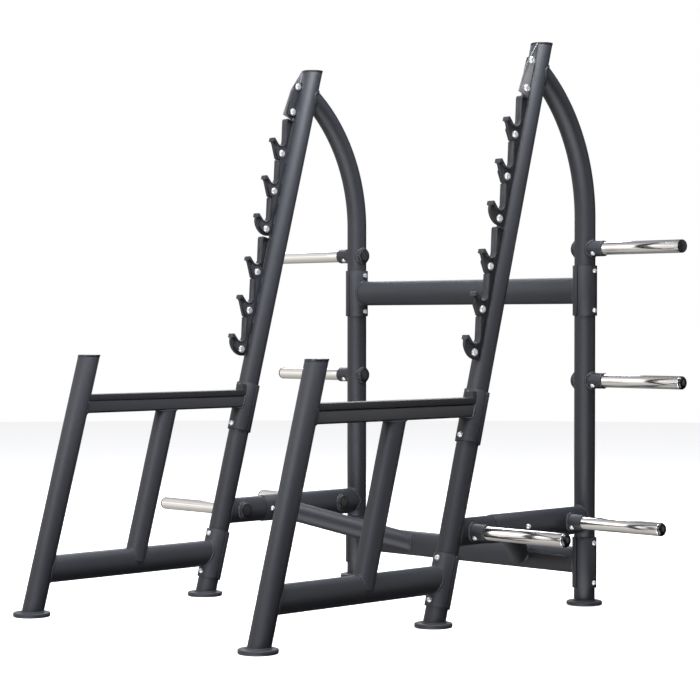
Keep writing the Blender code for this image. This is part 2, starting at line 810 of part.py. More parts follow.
def tip_rear_y():
    return -(TUBE_R + TIP_OUT)


def seat_centre():
    return -(TUBE_R + WALL_OUT + SEAT_R), SEAT_RISE + SEAT_R


def wall_top(depth):
    """The upper end of the drafted wall that a bar rests against, or of a line behind it."""
    return (-(TUBE_R + WALL_TOP_OUT) + depth, WALL_H)


def ramp_angle():
    """The direction from the seat's centre at which the ramp to the tip leaves the seat."""
    centre_y, centre_z = seat_centre()
    away_y = tip_rear_y() - centre_y
    away_z = TIP_TOP - centre_z
    bearing = math.atan2(away_z, away_y) % (2 * math.pi)
    return bearing + math.acos(SEAT_R / math.hypot(away_y, away_z))


def seat_arc(depth):
    """Points round the seat from the wall to the ramp, at a depth below its surface."""
    centre_y, centre_z = seat_centre()
    radius = SEAT_R + depth
    full = 2 * math.pi
    turn = ramp_angle() - full
    angles = [full + turn * step / SEAT_STEPS for step in range(SEAT_STEPS + 1)]
    return [(centre_y + radius * math.cos(a), centre_z + radius * math.sin(a)) for a in angles]


def flange_toe(depth, z):
    """Where a line at a depth below the ramp reaches a height."""
    y, low_z = seat_arc(depth)[-1]
    climb = ramp_angle() - math.pi / 2
    return y + (z - low_z) / math.tan(climb), z


def tip_points():
    """The tip's head, from the top of the ramp to its lower front corner."""
    rear = tip_rear_y()
    front = rear - TIP_T
    return [(rear, TIP_TOP), (front + TIP_EDGE, TIP_TOP), (front, TIP_TOP - TIP_EDGE),
            (front - TIP_FLARE, TIP_TOP - TIP_HEAD_H)]


def belly_arc(inset):
    """The rounded underside of a casting's last hook."""
    centre_y = -(TUBE_R + BELLY_OUT)
    radius = BELLY_R - inset
    points = []
    for step in range(BELLY_STEPS + 1):
        angle = BELLY_START + BELLY_TURN * step / BELLY_STEPS
        points.append((centre_y + radius * math.cos(angle), BELLY_RISE + radius * math.sin(angle)))
    return points


def crown_front():
    """Where the casting's top, which runs square to the upright, starts to round down."""
    crown_y = -(TUBE_R + CROWN_OUT)
    return crown_y, CROWN_BACK_Z + (rear_y(CROWN_BACK_Z, REAR_CLEAR) - crown_y) * math.tan(LEAN)


def hook_outline(hooks):
    """A casting's outline in world (y, z), down its front and back along the upright."""
    crown_y, crown_z = crown_front()
    corner_y = wall_top(0.0)[0]
    outline = local_to_world(hooks[0], [(rear_y(CROWN_BACK_Z, REAR_CLEAR), CROWN_BACK_Z),
                                        (crown_y, crown_z),
                                        ((crown_y + 2 * corner_y) / 3, crown_z - CROWN_CORNER / 4),
                                        (corner_y, crown_z - CROWN_CORNER)])
    for along in hooks:
        outline += local_to_world(along, seat_arc(0.0) + tip_points())
        if along != hooks[-1]:
            outline += local_to_world(along, [(-(TUBE_R + STEM_TOP_OUT), STEM_TOP_RISE),
                                              (-(TUBE_R + STEM_LOW_OUT), -STEM_LOW_DROP)])
            outline += local_to_world(along - HOOK_PITCH, [wall_top(0.0)])
    arc = belly_arc(0.0)
    bottom = arc[-1][1]
    outline += local_to_world(hooks[-1], arc + [(rear_y(bottom, REAR_CLEAR), bottom)])
    return outline


def pocket_outline(hooks):
    """The recess beside the web: all that lies behind the flange or in front of the stems."""
    far_rear = TUBE_R
    far_front = -(TUBE_R + BELLY_OUT + BELLY_R + TIP_T)
    crown_y, crown_z = crown_front()
    inner_wall, wall_z = wall_top(FLANGE_T)
    outline = local_to_world(hooks[0], [
        (far_rear, crown_z - FLANGE_T - (far_rear - crown_y) * math.tan(LEAN)),
        (crown_y, crown_z - FLANGE_T), (inner_wall, crown_z - CROWN_CORNER)])
    under_tip = TIP_TOP - TIP_HEAD_H
    for along in hooks:
        outline += local_to_world(along, seat_arc(FLANGE_T))
        outline += local_to_world(along, [flange_toe(FLANGE_T, under_tip), (far_front, under_tip)])
        if along != hooks[-1]:
            outline += local_to_world(along - HOOK_PITCH, [(far_front, wall_z), (inner_wall, wall_z)])
    low_z = BELLY_RISE - BELLY_R - FLANGE_T
    outline += local_to_world(hooks[-1], [(far_front, low_z), (far_rear, low_z)])
    return outline


def hook_bolt_points(hooks):
    """Places of a casting's bolts on the upright's centre plane."""
    return [upright_point(along - HOOK_BOLT_DROP, -(TUBE_R + HOOK_BOLT_OUT)) for along in hooks]


def guard_bottom():
    """Where the guard begins along the upright, just above the top casting's crown."""
    crown = Vector((0.0, rear_y(CROWN_BACK_Z, REAR_CLEAR), CROWN_BACK_Z))
    return TOP_HOOK_ALONG + crown.dot(ALONG) + GUARD_CLEAR


def guard_bolt_points():
    places = (TAB_TOP - GUARD_BOLT_DROP, guard_bottom() + GUARD_BOLT_RISE)
    return [upright_point(along, -(TUBE_R + GUARD_BOLT_OUT)) for along in places]


def add_plate_bolts(things, name, points, seat, back):
    """Bolts with heads on a piece's outer face and nuts on the back of the plate behind it."""
    mesh = bmesh.new()
    for point in points:
        bolt_and_nut(mesh, point + SIDEWAYS * (seat - HEAD_SINK), point + SIDEWAYS * (back - GAP),
                     PLATE_BOLT_R, PLATE_HEAD_R, PLATE_HEAD_H, HEAD_SIDES)
    join(things, tool_pair(name + "_bolts", mesh))


def cut_plate_holes(things, name, points, back):
    """Holes in a plate for the bolts through it."""
    mesh = bmesh.new()
    for point in points:
        rod(mesh, point + SIDEWAYS * (back - PLATE_HEAD_H), point + SIDEWAYS * CASTING_W,
            PLATE_BOLT_R + BOLT_CLEARANCE, HEAD_SIDES)
    cut(things, tool_pair(name + "_holes", mesh))


def hook_casting(name, hooks):
    """A casting with three bar hooks: a web with a wide flange round each seat."""
    mesh = bmesh.new()
    low = HALF_SPACING + CASTING_SET
    high = low + CASTING_W
    prism(mesh, hook_outline(hooks), low, high)
    things = make_pair("hooks_" + name, mesh, cast_coat())
    pockets = bmesh.new()
    web_outer = WEB_INNER + WEB_T
    prism(pockets, pocket_outline(hooks), low - FLANGE_T, HALF_SPACING + WEB_INNER)
    prism(pockets, pocket_outline(hooks), HALF_SPACING + web_outer, high + FLANGE_T)
    cut(things, tool_pair("pockets_" + name, pockets))
    add_plate_bolts(things, "hooks_" + name, hook_bolt_points(hooks), web_outer, PLATE_INNER)
    return things


def plate_outline(hooks):
    """The hook plate's outline, which fits in the casting's inner recess."""
    depth = FLANGE_T + PLATE_CLEAR
    inner_wall, wall_z = wall_top(depth)
    outline = local_to_world(hooks[0], [(rear_y(-PLATE_TOP_DROP, GAP), -PLATE_TOP_DROP)])
    for along in hooks:
        arc = seat_arc(depth)
        if along == hooks[0]:
            arc = arc[SEAT_STEPS // 2:]
        outline += local_to_world(along, arc)
        if along != hooks[-1]:
            outline += local_to_world(along, [
                (PLATE_STEM_SET - TUBE_R - STEM_TOP_OUT, -PLATE_STEM_DROP),
                (PLATE_STEM_SET - TUBE_R - STEM_LOW_OUT, -STEM_LOW_DROP)])
            outline += local_to_world(along - HOOK_PITCH, [(inner_wall, wall_z + PLATE_CLEAR)])
    arc = belly_arc(PLATE_STEM_SET)[1:]
    bottom = arc[-1][1]
    outline += local_to_world(hooks[-1], arc + [(rear_y(bottom, GAP), bottom)])
    return outline


def hook_plate(name, hooks):
    """A flat plate welded along the front of the upright, behind a casting."""
    mesh = bmesh.new()
    low = HALF_SPACING + PLATE_INNER
    prism(mesh, plate_outline(hooks), low, low + PLATE_T)
    things = make_pair("hook_plate_" + name, mesh, powder_coat())
    cut_plate_holes(things, "hook_plate_" + name, hook_bolt_points(hooks), PLATE_INNER)
    return things


# Top guard

def upright_outline(points):
    """Turn (out, along) points in front of the upright into world (y, z)."""
    return [(p.y, p.z) for p in (upright_point(along, -(TUBE_R + out)) for out, along in points)]


def guard_tab():
    """The flat tab welded to the front of the upright's top."""
    mesh = bmesh.new()
    bottom = guard_bottom() + TAB_ABOVE_GUARD
    near = TAB_CORNER / 4
    outline = upright_outline([(GAP, TAB_TOP), (TAB_TOP_OUT, TAB_TOP - TAB_TOP_DROP),
                               (TAB_OUT, bottom + TAB_CORNER), (TAB_OUT - near, bottom + near),
                               (TAB_OUT - TAB_CORNER, bottom), (GAP, bottom)])
    low = HALF_SPACING + TAB_INNER
    prism(mesh, outline, low, low + TAB_T)
    things = make_pair("guard_tab", mesh, powder_coat())
    cut_plate_holes(things, "guard_tab", guard_bolt_points(), TAB_INNER)


def guard_plate():
    """The brushed plate that keeps a bar off the upright's top."""
    mesh = bmesh.new()
    bottom = guard_bottom()
    outline = upright_outline([(2 * GAP, GUARD_TOP), (GUARD_TOP_OUT, GUARD_TOP),
                               (GUARD_KNEE_OUT, GUARD_TOP - GUARD_KNEE_DROP),
                               (GUARD_OUT, bottom + GUARD_CORNER_RISE), (2 * GAP, bottom)])
    low = TAB_INNER + TAB_T + GAP
    prism(mesh, outline, HALF_SPACING + low, HALF_SPACING + low + GUARD_T)
    things = make_pair("guard_plate", mesh, brushed_steel())
    add_plate_bolts(things, "guard_plate", guard_bolt_points(), low + GUARD_T, TAB_INNER)


def build():
    clear_scene()

    # Shapes that cope the tube ends, and the bolt holes
    reach = 4 * TUBE_R
    front_cope = leaning_tool("front_post", FRONT_FLOOR_Y, TUBE_R + GAP, -reach, FRONT_TOP_Z + reach)
    upright_cope = leaning_tool("upright", UPRIGHT_FLOOR_Y, TUBE_R + GAP, -reach, UPRIGHT_TOP_Z + reach)
    clamp_cope = leaning_tool("upright_clamp", UPRIGHT_FLOOR_Y, CLAMP_OUT_R + GAP, -reach,
                              SPOTTER_Z + CLAMP_L + reach)
    post_cope = vertical_tool("rear_post", TUBE_R + GAP, FOOT_T, BEND_START_Z)
    post_clamp_cope = vertical_tool("post_clamp", CLAMP_OUT_R + GAP, FOOT_T, BEND_START_Z)
    rail_cope = oval_tool("lower_rail", lean_point(FRONT_FLOOR_Y, LOWER_RAIL_Z),
                          lean_point(UPRIGHT_FLOOR_Y, LOWER_RAIL_Z), SIDEWAYS,
                          OVAL_HALF_W + GAP, OVAL_HALF_H + GAP)
    sleeve_cope = oval_tool("sleeve", Vector((HALF_SPACING, SIDE_SEAM_Y, SIDE_RAIL_Z)),
                            post_point(SIDE_RAIL_Z), SIDEWAYS, SLEEVE_OUT_W + GAP, SLEEVE_OUT_H + GAP)
    cross_cope = oval_tool("cross_member", Vector((-TUBE_R, REAR_Y, CROSS_MEMBER_Z)),
                           post_point(CROSS_MEMBER_Z), REARWARD, OVAL_HALF_W + GAP, OVAL_HALF_H + GAP)
    clamp_holes = clamp_hole_tools()

    # Posts
    cut(leaning_post("upright", UPRIGHT_FLOOR_Y, UPRIGHT_TOP_Z), clamp_holes)
    leaning_post("front_post", FRONT_FLOOR_Y, FRONT_TOP_Z)
    rear_posts = rear_post()
    cut(rear_posts, upright_cope)
    cut(rear_posts, clamp_holes)
    centres = dict(horn_layout())
    add_sockets(rear_posts, "post", [centres["upper"], centres["lower"]])

    # Rails, struts and braces
    for rail in (lower_rail(), spotter_rail()):
        cut(rail, front_cope)
        cut(rail, clamp_cope)
    liners = spotter_liner()
    cut(liners, front_cope)
    cut(liners, clamp_cope)
    cut(liners, clamp_head_tool())
    cut(spotter_strut(), rail_cope)
    front_rails = side_rail_front()
    cut(front_rails, upright_cope)
    cut(front_rails, rail_hole_tools())
    add_sockets(front_rails, "side_rail_front", [centres["front"]])
    rear_rails = side_rail_rear()
    cut(rear_rails, post_cope)
    add_sockets(rear_rails, "side_rail_rear", [centres["rear"]])
    add_rail_bolts(rear_rails)
    braces = diagonal_brace()
    cut(braces, sleeve_cope)
    cut(braces, cross_cope)
    corner_gusset()
    for name, z in (("upper_crossbar", CROSSBAR_Z), ("lower_cross_member", CROSS_MEMBER_Z)):
        bar_between = cross_tube(name, z)
        for tool in post_clamp_cope:
            cut((bar_between,), (tool,))

    # Clamps, horns, hooks and guards
    clamps()
    weight_horns()
    for name, hooks in hook_layout():
        hook_casting(name, hooks)
        hook_plate(name, hooks)
    guard_tab()
    guard_plate()


build()
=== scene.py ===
import math

import bpy
from mathutils import Matrix, Vector


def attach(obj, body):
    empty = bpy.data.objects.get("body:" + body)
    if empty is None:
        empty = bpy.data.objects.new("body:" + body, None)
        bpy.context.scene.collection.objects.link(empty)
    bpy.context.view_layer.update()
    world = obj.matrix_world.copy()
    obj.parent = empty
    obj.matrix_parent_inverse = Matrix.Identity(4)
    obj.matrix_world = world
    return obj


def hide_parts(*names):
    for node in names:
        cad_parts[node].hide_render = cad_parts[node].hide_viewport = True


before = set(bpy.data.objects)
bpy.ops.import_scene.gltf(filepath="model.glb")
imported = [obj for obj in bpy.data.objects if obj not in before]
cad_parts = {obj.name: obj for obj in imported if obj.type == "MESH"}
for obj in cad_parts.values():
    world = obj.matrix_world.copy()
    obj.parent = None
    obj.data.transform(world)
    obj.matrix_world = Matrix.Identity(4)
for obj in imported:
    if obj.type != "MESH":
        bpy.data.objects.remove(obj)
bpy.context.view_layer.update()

# Uprights
# Two lengths of 73 mm round steel tube, sawn level at both ends, that lean back on round foot
# plates welded under them. Powder coated charcoal, with a black plastic cap on the top.

HALF_SPACING = 0.5594
LEAN = math.radians(15.62)
UP = Vector((0.0, 0.0, 1.0))
UPRIGHT_FLOOR_Y = -0.0042
UPRIGHT_TOP_Z = 1.933
TUBE_R = 0.0365
TUBE_WALL = 0.003
CAP_T = 0.0065
CAP_RIM = 0.0008
CAP_EDGE = 0.0012
FOOT_R = 0.062
FOOT_T = 0.014
FOOT_EDGE = 0.0035
WELD_R = 0.0042
WELD_RIPPLE = 0.1
ABOVE_FOOT_Z = 0.1
SMOOTH_BELOW = math.radians(32)
RING = 96
ALL_ROUND = [2 * math.pi * number / RING for number in range(RING)]


def lean_point(floor_y, z):
    """The point at a height on the axis of a right-hand leaning post."""
    return Vector((HALF_SPACING, floor_y + math.tan(LEAN) * z, z))


def pick(*pieces):
    """Select these pieces, or none, and nothing else."""
    bpy.ops.object.select_all(action="DESELECT")
    for piece in reversed(pieces):
        piece.select_set(True)
        bpy.context.view_layer.objects.active = piece


def set_in_place(piece):
    """Write a piece's place, turn and scale into its mesh."""
    pick(piece)
    bpy.ops.object.transform_apply(location=True, rotation=True, scale=True)


def shape(piece, kind, **settings):
    """Shape a piece with a modifier and apply it."""
    pick(piece)
    modifier = piece.modifiers.new(kind.title(), kind)
    for name, value in settings.items():
        setattr(modifier, name, value)
    bpy.ops.object.modifier_apply(modifier=modifier.name)


def round_edges(piece, width, steps=2, sharper_than=40):
    shape(piece, "BEVEL", width=width, segments=steps, limit_method="ANGLE",
          angle_limit=math.radians(sharper_than))


def open_all(piece):
    """Open a piece for editing with all of it selected."""
    pick(piece)
    bpy.ops.object.mode_set(mode="EDIT")
    bpy.ops.mesh.select_all(action="SELECT")


def saw(piece, point, outward, close=False):
    """Saw a piece off at a plane and drop what lies on its outward side."""
    open_all(piece)
    bpy.ops.mesh.bisect(plane_co=point, plane_no=outward, clear_outer=True, use_fill=close)
    bpy.ops.object.mode_set(mode="OBJECT")


def bar(start, end, half_w, half_h=None, ends="NGON", sides=64):
    """A round or oval bar between two points, open if its ends are NOTHING."""
    run = Vector(end) - Vector(start)
    pick()
    bpy.ops.mesh.primitive_cylinder_add(
        vertices=sides, radius=1.0, depth=run.length, end_fill_type=ends,
        location=(Vector(start) + Vector(end)) / 2,
        rotation=run.to_track_quat("Z", "Y").to_euler(),
        scale=(half_w, half_h or half_w, 1.0))
    piece = bpy.context.object
    set_in_place(piece)
    return piece


def hollow(piece, wall, edge=None, steps=2):
    """Give a sleeve-shaped skin its wall, inwards, and break the edges of its rims."""
    shape(piece, "SOLIDIFY", thickness=wall, offset=-1.0)
    round_edges(piece, edge or wall * 0.25, steps)


def join(*pieces):
    """Make several pieces one."""
    pick(*pieces)
    bpy.ops.object.join()
    return pieces[0]


def bead(points, radius, closed=True):
    """A line of weld along the points: a round bead with the ripple that welding leaves."""
    pick()
    bpy.ops.mesh.primitive_circle_add(vertices=len(points), fill_type="NOTHING")
    line = bpy.context.object
    for vertex, point in zip(line.data.vertices, points):
        vertex.co = point
    bpy.ops.object.convert(target="CURVE")
    line = bpy.context.object
    line.data.bevel_depth = radius
    line.data.bevel_resolution = 2
    line.data.use_fill_caps = True
    spline = line.data.splines[0]
    spline.use_cyclic_u = closed
    for number, point in enumerate(spline.points):
        point.radius = 1.0 + WELD_RIPPLE * math.cos(number * 2 * math.pi / 3)
    bpy.ops.object.convert(target="MESH")
    return bpy.context.object


def meeting_line(target, start, run, offsets):
    """Where a bar's surface, as offsets from its axis, first meets the target on its run."""
    hits = [target.ray_cast(start + offset, run) for offset in offsets]
    return [place for hit, place, _, _ in hits if hit]


def weld(target, start, end, half_w, half_h=None, radius=WELD_R):
    """The weld round a round or oval bar where its run from start to end meets the target."""
    run = (end - start).normalized()
    turn = run.to_track_quat("Z", "Y")
    offsets = [turn @ Vector((half_w * math.cos(angle), (half_h or half_w) * math.sin(angle), 0.0))
               for angle in ALL_ROUND]
    return bead(meeting_line(target, start, run, offsets), radius)


def leaning_tube(floor_y, top_z):
    """A leaning tube and its foot plate, with the weld between them."""
    skin = bar(lean_point(floor_y, -TUBE_R), lean_point(floor_y, top_z + TUBE_R), TUBE_R,
               ends="NOTHING")
    saw(skin, (0, 0, FOOT_T / 2), -UP)
    saw(skin, (0, 0, top_z - CAP_T), UP)
    foot = foot_plate(lean_point(floor_y, 0.0))
    joint = weld(foot, lean_point(floor_y, ABOVE_FOOT_Z), lean_point(floor_y, 0.0), TUBE_R)
    hollow(skin, TUBE_WALL)
    return join(skin, foot, joint)


def foot_plate(centre):
    """A round steel plate with turned edges."""
    foot = bar(centre, centre + UP * FOOT_T, FOOT_R, sides=RING)
    round_edges(foot, FOOT_EDGE, 4)
    return foot


def tube_cap(floor_y, top_z):
    """A plastic cap, cut level like the tube, whose soft rim stands a little over it."""
    cap = bar(lean_point(floor_y, top_z - TUBE_R), lean_point(floor_y, top_z + TUBE_R),
              TUBE_R + CAP_RIM)
    saw(cap, (0, 0, top_z - CAP_T), -UP, close=True)
    saw(cap, (0, 0, top_z), UP, close=True)
    round_edges(cap, CAP_EDGE, 3, 60)
    return cap


def mirrored(piece):
    """The same piece for the left side, with a mesh of its own."""
    pick(piece)
    bpy.ops.object.duplicate()
    other = bpy.context.object
    other.data.transform(Matrix.Diagonal((-1.0, 1.0, 1.0, 1.0)))
    other.data.flip_normals()
    return other


def settle(piece, name, finish, nodes=()):
    """Name a piece, give it its finish, and let it stand for its solids."""
    material, slot = finish
    piece.name = piece.data.name = name
    piece.data.materials.clear()
    piece.data.materials.append(material)
    pick(piece)
    bpy.ops.object.shade_smooth_by_angle(angle=SMOOTH_BELOW)
    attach(piece, "root")
    if nodes:
        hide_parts(*nodes)


def settle_both(piece, name, finish, *nodes):
    """Settle the right-hand piece and its mirror image on the left."""
    other = mirrored(piece)
    settle(piece, name + "_right", finish, [node + "_right" for node in nodes])
    settle(other, name + "_left", finish, [node + "_left" for node in nodes])


class Wire:
    """A socket in a material, on which sums add the nodes that work them out."""

    def __init__(self, socket):
        self.socket = socket

    def node(self, kind, settings, sockets, output=0):
        """Add a node, set it up, and fill its sockets with values or wires."""
        tree = self.socket.id_data
        made = tree.nodes.new(kind)
        for name, value in settings.items():
            if name == "stops":
                ramp = made.color_ramp
                while len(ramp.elements) < len(value):
                    ramp.elements.new(1.0)
                for element, (place, colour) in zip(ramp.elements, value):
                    element.position = place
                    element.color = (*colour, 1.0)
            else:
                setattr(made, name, value)
        for name, value in sockets.items():
            if isinstance(value, Wire):
                tree.links.new(value.socket, made.inputs[name])
            else:
                made.inputs[name].default_value = value
        return Wire(made.outputs[output])

    def sum(self, operation, first, second):
        return self.node("ShaderNodeMath", {"operation": operation}, {0: first, 1: second})

    def __add__(self, other):
        return self.sum("ADD", self, other)

    def __sub__(self, other):
        return self.sum("SUBTRACT", self, other)

    def __rsub__(self, other):
        return self.sum("SUBTRACT", other, self)

    def __mul__(self, other):
        return self.sum("MULTIPLY", self, other)

    __radd__ = __add__
    __rmul__ = __mul__

    def noise(self, scale, detail=2.0, roughness=0.5):
        return self.node("ShaderNodeTexNoise", {}, {"Vector": self, "Scale": scale,
                                                    "Detail": detail, "Roughness": roughness})

    def stretched(self, scale):
        """These coordinates, scaled along each axis."""
        return self.node("ShaderNodeMapping", {}, {"Vector": self, "Scale": scale})

    def between(self, low, high):
        """The colour from low to high that this value stands for."""
        return self.node("ShaderNodeMix", {"data_type": "RGBA"},
                         {0: self, 6: (*low, 1.0), 7: (*high, 1.0)}, 2)

    def bump(self, distance, strength):
        return self.node("ShaderNodeBump", {}, {"Height": self, "Distance": distance,
                                                "Strength": strength})


def start_finish(name, slot, constants):
    """A finish, which is a material and its slot, and the object's own coordinates."""
    material = bpy.data.materials.new(name)
    material.use_nodes = True
    shader = material.node_tree.nodes["Principled BSDF"]
    for socket, value in constants.items():
        shader.inputs[socket].default_value = value
    place = Wire(shader.outputs[0]).node("ShaderNodeTexCoord", {}, {}, "Object")
    return (material, slot), place


def feed(finish, **wires):
    """Link wires to a finish's sockets, named with underscores for spaces."""
    tree = finish[0].node_tree
    for name, wire in wires.items():
        tree.links.new(wire.socket, tree.nodes["Principled BSDF"].inputs[name.replace("_", " ")])


def powder_coating(name, roughness):
    """Charcoal powder coat: a fine orange peel, faint flecks and slow drifts of tone."""
    finish, place = start_finish(name, "powder_coat", {"Metallic": 0.0, "IOR": 1.5})
    peel = place.noise(260.0, 3.0, 0.7)
    fleck = place.noise(620.0, 1.0)
    drift = place.noise(4.5, 3.0)
    tone = 0.5 + 1.9 * (drift * 0.3 + peel * 0.4 + fleck * 0.3 - 0.5)
    feed(finish, Base_Color=tone.between((0.018, 0.0195, 0.024), (0.040, 0.0425, 0.051)),
         Roughness=roughness + peel * 0.14, Normal=(peel * 0.8 + fleck * 0.2).bump(0.0006, 0.35))
    return finish


powder_coat = powder_coating("charcoal_powder_coat", 0.46)

# Black moulded plastic with a faint mottle
cap_plastic, place = start_finish("cap_plastic", "black_plastic", {"IOR": 1.46})
mottle = place.noise(160.0, 3.0)
feed(cap_plastic, Base_Color=mottle.between((0.010, 0.010, 0.011), (0.018, 0.018, 0.020)),
     Roughness=mottle * 0.15 + 0.30, Normal=mottle.bump(0.0003, 0.2))

upright_tube = leaning_tube(UPRIGHT_FLOOR_Y, UPRIGHT_TOP_Z)
settle_both(upright_tube, "upright_tube", powder_coat, "upright")
settle_both(tube_cap(UPRIGHT_FLOOR_Y, UPRIGHT_TOP_Z), "upright_cap", cap_plastic)

# Front posts
# Two shorter posts of the same tube at the same lean, on the same welded feet, which carry
# the front ends of the lower rails and the spotter rails. Powder coated, capped with plastic.

FRONT_FLOOR_Y = -0.7725
FRONT_TOP_Z = 0.873

front_post_tube = leaning_tube(FRONT_FLOOR_Y, FRONT_TOP_Z)
settle_both(front_post_tube, "front_post_tube", powder_coat, "front_post")
settle_both(tube_cap(FRONT_FLOOR_Y, FRONT_TOP_Z), "front_post_cap", cap_plastic)

# Rear posts
# Two posts of the same tube that rise upright from welded feet and are then bent forward in
# one wide sweep to the uprights, where they are coped and welded all round. Powder coated.

ALONG = Vector((0.0, math.sin(LEAN), math.cos(LEAN)))
BEHIND = Vector((0.0, math.cos(LEAN), -math.sin(LEAN)))
SIDEWAYS = Vector((1.0, 0.0, 0.0))
REAR_Y = 0.7725
BEND_START_Z = 1.3465
BEND_RADIUS = 0.6005
BEND_TOP_FIT = 0.0006
BEND_WELD_R = 0.0045
BEND_CENTRE = Vector((HALF_SPACING, REAR_Y - BEND_RADIUS, BEND_START_Z))
UPPER_HORN_Z = 1.240
LOWER_HORN_Z = 0.782
HORN_R = 0.0225
SOCKET_R = 0.0270
SOCKET_OUT = 0.0866
SOCKET_IN = 0.0424
SOCKET_EDGE = 0.0014
SOCKET_WELD_R = 0.0052
HORN_GAP = 0.0003


def upright_point(along, behind=0.0):
    """A point by its distance along the right-hand upright and behind its axis."""
    return Vector((HALF_SPACING, UPRIGHT_FLOOR_Y, 0.0)) + ALONG * along + BEHIND * behind


def post_point(z):
    """A point on the right-hand rear post's upright axis."""
    return Vector((HALF_SPACING, REAR_Y, z))


def face_outwards():
    """Turn the open piece's faces outwards and close it again."""
    bpy.ops.mesh.select_all(action="SELECT")
    bpy.ops.mesh.normals_make_consistent(inside=False)
    bpy.ops.object.mode_set(mode="OBJECT")


def bent_tube():
    """The rear post's skin: a ring pulled up from the foot and then spun round the bend."""
    pick()
    bpy.ops.mesh.primitive_circle_add(vertices=64, radius=TUBE_R, fill_type="NOTHING",
                                      location=post_point(FOOT_T / 2))
    skin = bpy.context.object
    set_in_place(skin)
    open_all(skin)
    rise = {"value": (0, 0, BEND_START_Z - FOOT_T / 2)}
    bpy.ops.mesh.extrude_region_move(TRANSFORM_OT_translate=rise)
    bpy.ops.mesh.spin(steps=48, angle=BEND_END, center=BEND_CENTRE, axis=(-1, 0, 0))
    bpy.ops.mesh.select_all(action="SELECT")
    bpy.ops.mesh.remove_doubles(threshold=0.00001)
    face_outwards()
    face = skin.data.polygons[0]
    if (face.center - post_point(face.center.z)).dot(face.normal) < 0:
        skin.data.flip_normals()
    return skin


def socket(centre):
    """A sleeve for a weight horn, through a post or a rail."""
    skin = bar(centre - SIDEWAYS * SOCKET_IN, centre + SIDEWAYS * SOCKET_OUT, SOCKET_R,
               ends="NOTHING")
    hollow(skin, SOCKET_R - HORN_R - HORN_GAP, SOCKET_EDGE, 3)
    return skin


def socket_welds(target, centre):
    """The welds round a socket on both faces of what it passes through."""
    return [weld(target, centre + SIDEWAYS * out, centre, SOCKET_R, radius=SOCKET_WELD_R)
            for out in (SOCKET_OUT, -SOCKET_OUT)]


def rear_post():
    skin = bent_tube()
    foot = foot_plate(post_point(0.0))
    parts = [weld(foot, post_point(ABOVE_FOOT_Z), post_point(0.0), TUBE_R)]
    for z in (UPPER_HORN_Z, LOWER_HORN_Z):
        parts += socket_welds(skin, post_point(z)) + [socket(post_point(z))]
    parts.append(bend_top_weld())
    hollow(skin, TUBE_WALL)
    return join(skin, foot, *parts)


def bend_top_weld():
    """The weld where the bent end of a rear post meets the upright."""
    heading = Vector((0.0, -math.sin(BEND_END), math.cos(BEND_END)))
    outward = Vector((0.0, math.cos(BEND_END), math.sin(BEND_END)))
    end = BEND_CENTRE + outward * BEND_RADIUS
    return weld(upright_tube, end - heading * 0.16, end, TUBE_R - BEND_TOP_FIT, TUBE_R, BEND_WELD_R)


BEND_END = math.acos(-(BEND_CENTRE - upright_point(0.0)).dot(BEHIND) / BEND_RADIUS) - LEAN
rear_post_tube = rear_post()
settle_both(rear_post_tube, "rear_post_tube", powder_coat, "rear_post")

# Clamps
# Pairs of pressed half shells that grip the uprights and the rear posts, where the rails and
# cross members are welded to them. Two bolts with nuts draw each pair together. Powder coated.

CLAMP_IN_R = TUBE_R + 0.0003
CLAMP_T = 0.0057
CLAMP_L = 0.1745
CLAMP_GROOVE = 0.0035
CLAMP_CORNER = 0.010
CLAMP_BOLT_PITCH = 0.138
CLAMP_EDGE = 0.0011
BOLT_R = 0.0094
BOLT_H = 0.0052
NUT_R = 0.0092
NUT_H = 0.0062
WASHER_T = 0.0018
HEAD_SUNK = 0.0002
CROSSBAR_Z = 1.095
CROSS_MEMBER_Z = 0.153
CLAMPS = {
    "clamp_upright_upper": (upright_point(0.699), ALONG, -BEHIND),
    "clamp_upright_lower": (upright_point(0.1515), ALONG, -BEHIND),
    "clamp_post_upper": (post_point(CROSSBAR_Z), UP, SIDEWAYS),
    "clamp_post_lower": (post_point(CROSS_MEMBER_Z - 0.005), UP, SIDEWAYS),
}


def half_shell():
    """One shell, made at the origin round an upright axis and facing +X."""
    half = CLAMP_L / 2
    shell = bar((0, 0, -half), (0, 0, half), CLAMP_IN_R, ends="NOTHING", sides=RING)
    saw(shell, (CLAMP_GROOVE / 2, 0, 0), -SIDEWAYS)
    for end in (-1, 1):
        centre = Vector((CLAMP_GROOVE / 2 + CLAMP_CORNER, 0.0, end * (half - CLAMP_CORNER)))
        for degrees in (18, 36, 54, 72):
            angle = math.radians(degrees)
            outward = Vector((-math.cos(angle), 0.0, end * math.sin(angle)))
            saw(shell, centre + outward * CLAMP_CORNER, outward)
    shape(shell, "SOLIDIFY", thickness=CLAMP_T, offset=1.0)
    round_edges(shell, CLAMP_EDGE, 2, 45)
    return shell


def placed(master, place, facing, axis):
    """A copy of a piece made at the origin, its +X turned to facing and its +Z to the axis."""
    pick(master)
    bpy.ops.object.duplicate()
    copy = bpy.context.object
    turn = Matrix((facing, axis.cross(facing), axis)).transposed()
    copy.data.transform(Matrix.Translation(place) @ turn.to_4x4())
    return copy


def turned(low_x, high_x, radius, sides=32):
    """A round or hexagon bar along X through the origin."""
    return bar((low_x, 0, 0), (high_x, 0, 0), radius, sides=sides)


def cut(piece, tool, operation="DIFFERENCE"):
    """Cut a tool's shape out of a piece, or keep what both fill, and drop the tool."""
    shape(piece, "BOOLEAN", operation=operation, solver="EXACT", object=tool)
    bpy.data.objects.remove(tool)


